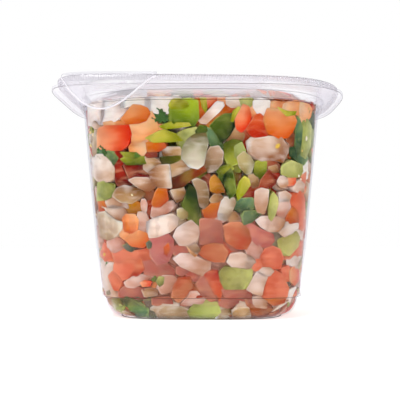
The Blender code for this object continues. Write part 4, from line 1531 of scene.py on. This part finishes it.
def seed_template(around=8, rings=4):
    """A flat drop, pointed at one end."""
    points, faces = [(0, 0, 1)], []
    for k in range(1, rings):
        slant = math.pi * k / rings
        for i in range(around):
            turn = math.tau * i / around
            wide = math.sin(slant)
            points.append((wide * math.cos(turn), wide * math.sin(turn), math.cos(slant)))
    points.append((0, 0, -1))
    last = len(points) - 1
    for i in range(around):
        j = (i + 1) % around
        faces.append((0, 1 + i, 1 + j))
        for k in range(rings - 2):
            low, high = 1 + k * around, 1 + (k + 1) * around
            faces.append((low + i, high + i, high + j, low + j))
        faces.append((last, last - around + j, last - around + i))
    points = np.array(points, float)
    points[:, 1] *= 1 - 0.35 * np.clip(points[:, 0], 0, 1)
    return points, sort_faces(faces)


SEED, seed_faces = seed_template()


def shown_spot(column, row, behind):
    """The place a little behind the wall at a pixel, the wall's outward way and the size of a pixel."""
    spot, distance = wall_behind_pixel(column, row)
    _, out = wall_spot(math.atan2(spot.y, spot.x), spot.z)
    return spot - out * behind, out, distance / FOCAL_PIXELS


def put_small(basket, palette, points, faces, share, back):
    """Adds a seed or a leaf, which has one colour all over."""
    tone = two_tones(palette, np.full(len(points), share))
    none = np.zeros(len(points))
    put_in_basket(basket, press(points, back), faces, tone=tone, skin=none, edge=none, grain=points)


def add_seed(spot, out, length, lean, back, share):
    points = SEED * np.array(SEED_SIZE) / 2 * (length / SEED_SIZE[0])
    points = points @ facing_frame(out, draw.uniform(0, math.tau), lean).T + np.array(spot)
    put_small("seed", "seed", points, seed_faces, share, back)


def add_seeds(count):
    for _ in range(count):
        height = draw.uniform(PACK_LOW_Z, 100 * MM)
        spot, out = wall_spot(draw.uniform(0, math.tau), height)
        if kept_clear(spot, height, 2 * MM):
            continue
        behind = draw.uniform(0.2, 1.2) * MM
        length = SEED_SIZE[0] * draw.uniform(0.8, 1.15)
        add_seed(spot - out * behind, out, length, 0.4, 0.2 * behind, draw.random())


# Column, row, length in pixels, and 0 for a white seed to 1 for a yellow one
SHOWN_SEEDS = ((278, 146, 7, 1.0), (132, 195, 3, 0.2), (299, 176, 4, 0.0), (301, 179, 3, 0.0))
for column, row, pixels, share in SHOWN_SEEDS:
    seed_spot, seed_out, pixel = shown_spot(column, row, 0.1 * MM)
    add_seed(seed_spot, seed_out, pixels * pixel, 0.1, -0.02 * MM, share)
add_seeds(120)

# %% Leaves
LEAF_SHEET = 0.25 * MM
LEAF_CRUMPLE = 0.7 * MM


def leaf_template(around=22, rings=3):
    """A lobed leaf with two faces, as points in its own plane and the faces between them."""
    outline = []
    for i in range(around):
        turn = math.tau * i / around
        lobe = 0.66 + 0.22 * abs(math.cos(1.5 * turn)) + 0.12 * math.cos(11 * turn)
        outline.append((lobe * math.cos(turn), lobe * math.sin(turn)))
    points = [(0, 0, 1)]
    for k in range(1, rings + 1):
        points += [(x * k / rings, y * k / rings, 1) for x, y in outline]
    top = len(points)
    points += [(x, y, -1) for x, y, _ in points]
    faces = []
    for i in range(around):
        j = (i + 1) % around
        faces.append((0, 1 + i, 1 + j))
        faces.append((top, top + 1 + j, top + 1 + i))
        for k in range(rings - 1):
            low, high = 1 + k * around, 1 + (k + 1) * around
            faces.append((low + i, high + i, high + j, low + j))
            faces.append((top + low + i, top + low + j, top + high + j, top + high + i))
        edge = 1 + (rings - 1) * around
        faces.append((edge + i, top + edge + i, top + edge + j, edge + j))
    return np.array(points, float), sort_faces(faces)


LEAF, leaf_faces = leaf_template()


def add_leaf(spot, out, width, turn, lean):
    points = LEAF * np.array((width / 2, width / 2 * draw.uniform(0.6, 0.9), LEAF_SHEET / 2))
    waves, phase = draw.uniform(500, 900), draw.uniform(0, math.tau)
    crumple = np.sin(points[:, 0] * waves + phase) * np.cos(points[:, 1] * waves * 0.8)
    points[:, 2] += crumple * LEAF_CRUMPLE
    points = points @ facing_frame(out, turn, lean).T + np.array(spot)
    put_small("leaf", "green_dark", points, leaf_faces, draw.random(), 0.0)


def add_leaves(count):
    for _ in range(count):
        height = draw.uniform(5 * MM, 98 * MM)
        spot, out = wall_spot(draw.uniform(0, math.tau), height)
        if kept_clear(spot, height, 3 * MM):
            continue
        spot = spot - out * draw.uniform(0.2, 2.5) * MM
        add_leaf(spot, out, draw.uniform(5, 11) * MM, draw.uniform(0, math.tau), 0.3)


# Column, row, width in pixels, and turn in degrees
SHOWN_LEAVES = ((160, 116, 21, -28), (101, 152, 18, -10), (136, 155, 9, -20), (154, 279, 8, 60))
for column, row, pixels, degrees in SHOWN_LEAVES:
    leaf_spot, leaf_out, pixel = shown_spot(column, row, 0.2 * MM)
    add_leaf(leaf_spot, leaf_out, pixels * pixel, math.radians(degrees), 0.05)
add_leaves(40)

# %% [markdown]
# ## Finishes of the food
#
# Wet cut vegetables let light in: onion most of all, tomato flesh less, pepper skin hardly. A little
# subsurface scattering does that. There is no clear coat for the juice, because the wall touches the
# food and takes its shine away. The colour comes from the piece's own attribute. Soft patches and
# fibres lighten and darken it, and a cut edge on the pale side of a piece gets a painted highlight.

# %% Food materials


def wet_food(recipe, colour, roughness, soak, soak_colour, coat=0.0, bump=None):
    """A Principled shader for something moist."""
    inputs = {
        "Base Color": colour,
        "Roughness": roughness,
        "Subsurface Weight": soak,
        "Subsurface Radius": soak_colour,
        "Subsurface Scale": 4.0 * MM,
        "Specular IOR Level": 0.08,
        "Coat Weight": coat,
        "Coat Roughness": 0.1,
        "IOR": 1.38,
    }
    if bump is not None:
        inputs["Normal"] = bump
    return recipe.finish(recipe.add("ShaderNodeBsdfPrincipled", inputs=inputs))


def picture_colour(red, green, blue):
    """A colour given as a picture shows it, for a shader's socket."""
    return (light_amount(red), light_amount(green), light_amount(blue), 1)


def marked(recipe, *names):
    """What is marked on the pieces under those names."""
    outputs = {"tone": 0, "grain": 1, "skin": 2, "edge": 2}
    return [recipe.add("ShaderNodeAttribute", {"attribute_name": name}, outputs[name]) for name in names]


def stretched(recipe, grain, along, across):
    """The grain's place, squeezed so that a texture on it runs in streaks."""
    settings = {"operation": "MULTIPLY"}
    return recipe.add("ShaderNodeVectorMath", settings, 0, {0: grain, 1: (along, across, across)})


def mottled(recipe, grain, colour, scale, light, light_share, dark, dark_share):
    """The colour with lighter patches where a noise is high and darker ones where it is low."""
    noise = recipe.noise(grain, scale, 1.0)
    high, low = recipe.stretch_out(noise, 0.5, 0.78), recipe.stretch_out(noise, 0.5, 0.22)
    colour = recipe.blend(high * light_share, colour, picture_colour(*light))
    return recipe.blend(low * dark_share, colour, picture_colour(*dark))


def painted_edge_highlight(recipe, colour, edge, texture, share, light):
    """The colour with a painted highlight on the edges, a lighter one where the texture is high."""
    shine = edge * recipe.stretch_out(texture, 0.3, 0.6)
    return recipe.blend(shine * share, colour, picture_colour(*light))


def relief(recipe, texture, strength, depth):
    """Small bumps of that depth, made by the texture."""
    inputs = {"Strength": strength, "Distance": depth, "Height": texture}
    return recipe.add("ShaderNodeBump", inputs=inputs)


def onion_material():
    recipe = Recipe("onion_flesh")
    tone, edge, grain = marked(recipe, "tone", "edge", "grain")
    streaks = stretched(recipe, grain, 120.0, 380.0)
    fibres = recipe.noise(streaks, 1.0, 3.0)
    colour = mottled(recipe, grain, tone, 120.0, (246, 236, 226), 0.45, (150, 104, 74), 0.5)
    colour = mottled(recipe, streaks, colour, 1.0, (250, 240, 230), 0.25, (150, 110, 84), 0.2)
    colour = painted_edge_highlight(recipe, colour, edge, fibres, 0.4, (250, 240, 230))
    bump = relief(recipe, fibres, 0.25, 0.25 * MM)
    return wet_food(recipe, colour, roughness=0.4, soak=0.6, soak_colour=(1.0, 0.8, 0.6), bump=bump)


def tomato_material():
    recipe = Recipe("tomato_flesh")
    tone, skin, edge, grain = marked(recipe, "tone", "skin", "edge", "grain")
    streaks = stretched(recipe, grain, 150.0, 460.0)
    folds = recipe.noise(grain, 260.0, 3.0)
    flesh = mottled(recipe, grain, tone, 130.0, (248, 160, 120), 0.3, (180, 34, 0), 0.6)
    flesh = mottled(recipe, streaks, flesh, 1.0, (252, 176, 130), 0.3, (176, 30, 0), 0.3)
    colour = recipe.blend(skin * 0.4, flesh, tone)
    colour = painted_edge_highlight(recipe, colour, edge, folds, 0.3, (254, 190, 150))
    bump = relief(recipe, folds, 0.3, 0.4 * MM)
    return wet_food(recipe, colour, roughness=0.4, soak=0.3, soak_colour=(1.0, 0.3, 0.1), bump=bump)


def pepper_material():
    recipe = Recipe("green_pepper")
    tone, skin, edge, grain = marked(recipe, "tone", "skin", "edge", "grain")
    folds = recipe.noise(grain, 240.0, 3.0)
    flesh = mottled(recipe, grain, tone, 130.0, (196, 206, 90), 0.3, (24, 60, 0), 0.6)
    flesh = mottled(recipe, grain, flesh, 500.0, (206, 214, 120), 0.15, (30, 66, 6), 0.25)
    colour = recipe.blend(skin * 0.4, flesh, tone)
    colour = painted_edge_highlight(recipe, colour, edge, folds, 0.35, (206, 218, 120))
    bump = relief(recipe, folds, 0.3, 0.3 * MM)
    return wet_food(recipe, colour, roughness=0.35, soak=0.2, soak_colour=(0.6, 1.0, 0.3), bump=bump)


def leaf_material():
    recipe = Recipe("coriander_leaf")
    tone, grain = marked(recipe, "tone", "grain")
    veins = recipe.noise(grain, 500.0, 2.0)
    colour = recipe.blend(veins * 0.5, tone, picture_colour(110, 160, 84))
    return wet_food(recipe, colour, roughness=0.4, soak=0.0, soak_colour=(0.4, 0.8, 0.3), coat=0.05)


def seed_material():
    recipe = Recipe("tomato_seed")
    (tone,) = marked(recipe, "tone")
    return wet_food(recipe, tone, roughness=0.3, soak=0.3, soak_colour=(1.0, 0.7, 0.4), coat=0.1)


FINISHES = {
    "onion": onion_material(),
    "tomato": tomato_material(),
    "pepper": pepper_material(),
    "leaf": leaf_material(),
    "seed": seed_material(),
}
PIECE_NAMES = {
    "onion": "onion_dice",
    "tomato": "tomato_dice",
    "pepper": "pepper_dice",
    "leaf": "coriander_leaves",
    "seed": "tomato_seeds",
}


def turn_out(basket):
    """Makes a basket's pieces one mesh, with what is marked on its points."""
    name = PIECE_NAMES[basket]
    held = baskets[basket]
    piece = new_piece(name, np.concatenate(held["points"]), held["faces"], FINISHES[basket], 50)
    for mark, (kind, field) in MARKS.items():
        attribute = piece.data.attributes.new(mark, kind, "POINT")
        attribute.data.foreach_set(field, np.concatenate(held[mark]).ravel())
    print(name, len(held["faces"]), "faces")
    return piece


food = [turn_out(basket) for basket in PIECE_NAMES]

# %% [markdown]
# ## The core and the juice
#
# Behind the layers of pieces lies a plain core, mottled with the colours of the food. Juice fills the
# lower half. Clear on its own, it is milky here from the pulp in it, so what touches the wall stays
# crisp and what lies deeper turns pink. Two thin veils, one close to the wall and one deeper, do that.

# %% Core
CORE_INSET = 12 * MM
CORE_SIDES, JUICE_SIDES = 48, 72
JUICE_LEVEL = 58 * MM
JUICE_FADE = 18 * MM


def inner_levels(inset, low, high, count):
    """Levels that follow the wall at that distance inside it."""
    levels = []
    for i in range(count):
        height = mix(low, high, i / (count - 1))
        half, power = inner_half(height)
        levels.append((half - inset, height, power))
    return levels


def core_material():
    recipe = Recipe("food_core")
    pattern = {"Vector": recipe.object_place(), "Scale": 110.0}
    cells = recipe.add("ShaderNodeTexVoronoi", output=1, inputs=pattern)
    pick = recipe.add("ShaderNodeSeparateColor", output=0, inputs={0: cells})
    stops = (
        (0.0, (0.42, 0.10, 0.05)),
        (0.35, (0.55, 0.20, 0.10)),
        (0.55, (0.50, 0.38, 0.28)),
        (0.80, (0.16, 0.20, 0.06)),
    )
    colour = recipe.ramp(pick, stops)
    return wet_food(recipe, colour, roughness=0.4, soak=0.0, soak_colour=(1, 0.4, 0.2), coat=0.3)


levels = inner_levels(CORE_INSET, 6 * MM, 88 * MM, 8)
levels = [(levels[0][0] * 0.6, 5 * MM, FOOT_POWER)] + levels + [(30 * MM, 94 * MM, SEAT_POWER)]
verts, faces = loft(plain(levels), CORE_SIDES, close_first=True, close_last=True)
core = new_piece("food_core", verts, faces, core_material())


# %% Juice
def juice_material(name, cover):
    """A cloudy veil that fades out towards the top of the juice."""
    recipe = Recipe(name)
    place = recipe.object_place()
    clouds = recipe.noise(place, 60.0, 3.0)
    height = recipe.add("ShaderNodeSeparateXYZ", output=2, inputs={0: place})
    fade = recipe.add("ShaderNodeMapRange", {"interpolation_type": "SMOOTHSTEP"}, inputs={
        "Value": height, "From Min": JUICE_LEVEL - JUICE_FADE, "From Max": JUICE_LEVEL,
        "To Min": 1.0, "To Max": 0.0})
    share = (clouds * cover + cover * 0.5) * fade
    clear = recipe.add("ShaderNodeBsdfTransparent", inputs={"Color": (1, 1, 1, 1)})
    milk = recipe.add("ShaderNodeBsdfPrincipled", inputs={
        "Base Color": picture_colour(214, 142, 118), "Roughness": 0.5})
    return recipe.finish(recipe.mix_shaders(share, clear, milk))


def juice_body(name, inset, cover):
    levels = [(30 * MM, FLOOR_Z + inset, FOOT_POWER)]
    levels += inner_levels(inset, FLOOR_Z + inset + 0.5 * MM, JUICE_LEVEL - inset, 14)
    levels.append((levels[-1][0] - 2 * MM, JUICE_LEVEL - inset, STEP_POWER))
    verts, faces = loft(plain(levels), JUICE_SIDES, close_first=True, close_last=True)
    return new_piece(name, verts, faces, juice_material(name, cover))


juice = [juice_body("juice_near", 0.04 * MM, 0.10), juice_body("juice_deep", 2.0 * MM, 0.40)]

# %% [markdown]
# ## Riding and replacing
#
# Nothing moves here, so every piece rides on the one body. The shells stand for the CAD tub and lid,
# and the food, the core and the juice stand for the CAD heap.

# %% Tell the frame
for piece in (tub, *tub_lines):
    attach(piece, "root")
    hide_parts("tub")
for piece in (lid, lid_line, ribs, tab, tab_edge, *grip_ribs):
    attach(piece, "root")
    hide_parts("lid")
for piece in (*food, core, *juice):
    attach(piece, "root")
    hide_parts("pico_de_gallo")

# %% [markdown]
# ## Floor, light and world
#
# The photograph has a white background. A pale floor, large soft lights from the front and above, and
# a white world give that. Glossy rays see a slightly darker, cooler world, as they would in a studio,
# and that is what draws the edges of the clear plastic.

# %% Stage
FLOOR_REACH = 3.0
FLOOR_GLOW = 0.62
TUB_MIDDLE = (0, 0, 0.06)


def stage_floor():
    """A pale paper floor that glows a little, so that it comes out as white as the background."""
    recipe = Recipe("floor_paper")
    grain = recipe.noise(recipe.object_place(), 40.0, 2.0)
    colour = recipe.blend(grain, (0.90, 0.90, 0.90, 1), (0.93, 0.93, 0.93, 1))
    paper = {"Base Color": colour, "Roughness": 0.9}
    glow = {"Emission Color": (1, 1, 1, 1), "Emission Strength": FLOOR_GLOW}
    material = recipe.finish(recipe.add("ShaderNodeBsdfPrincipled", inputs=paper | glow))
    corners = [(FLOOR_REACH * x, FLOOR_REACH * y, 0) for x, y in ((-1, -1), (1, -1), (1, 1), (-1, 1))]
    new_piece("floor", corners, [(0, 1, 2, 3)], material)


def soft_light(name, spot, size, power):
    """A square lamp aimed at the tub's middle."""
    data = bpy.data.lights.new(name, "AREA")
    data.size = size
    data.energy = power
    lamp = put_in_scene(name, data)
    lamp.location = spot
    lamp.rotation_euler = (Vector(TUB_MIDDLE) - Vector(spot)).to_track_quat("-Z", "Y").to_euler()


def background(tree, colour, strength):
    """A plain background of that colour and strength."""
    node = tree.nodes.new("ShaderNodeBackground")
    node.inputs["Color"].default_value = (*colour, 1)
    node.inputs["Strength"].default_value = strength
    return node


def studio_world():
    """One background for the camera, a dimmer one for light and another for reflections."""
    world = bpy.data.worlds.new("studio")
    world.use_nodes = True
    tree = world.node_tree
    tree.nodes.clear()
    seen = background(tree, (1, 1, 1), 1.0)
    lit = background(tree, (0.92, 0.91, 0.92), 0.42)
    mirrored = background(tree, (0.94, 0.94, 0.97), 0.85)
    path = tree.nodes.new("ShaderNodeLightPath")
    by_gloss = tree.nodes.new("ShaderNodeMixShader")
    by_camera = tree.nodes.new("ShaderNodeMixShader")
    output = tree.nodes.new("ShaderNodeOutputWorld")
    tree.links.new(path.outputs["Is Glossy Ray"], by_gloss.inputs[0])
    tree.links.new(lit.outputs[0], by_gloss.inputs[1])
    tree.links.new(mirrored.outputs[0], by_gloss.inputs[2])
    tree.links.new(path.outputs["Is Camera Ray"], by_camera.inputs[0])
    tree.links.new(by_gloss.outputs[0], by_camera.inputs[1])
    tree.links.new(seen.outputs[0], by_camera.inputs[2])
    tree.links.new(by_camera.outputs[0], output.inputs["Surface"])
    bpy.context.scene.world = world


stage_floor()
soft_light("key", (-0.35, -0.75, 0.85), size=0.5, power=6.5)
soft_light("fill", (0.7, -0.7, 0.35), size=0.7, power=1)
soft_light("overhead", (0.0, 0.1, 0.9), size=0.7, power=1.8)
studio_world()
bpy.context.scene.view_settings.view_transform = "Standard"
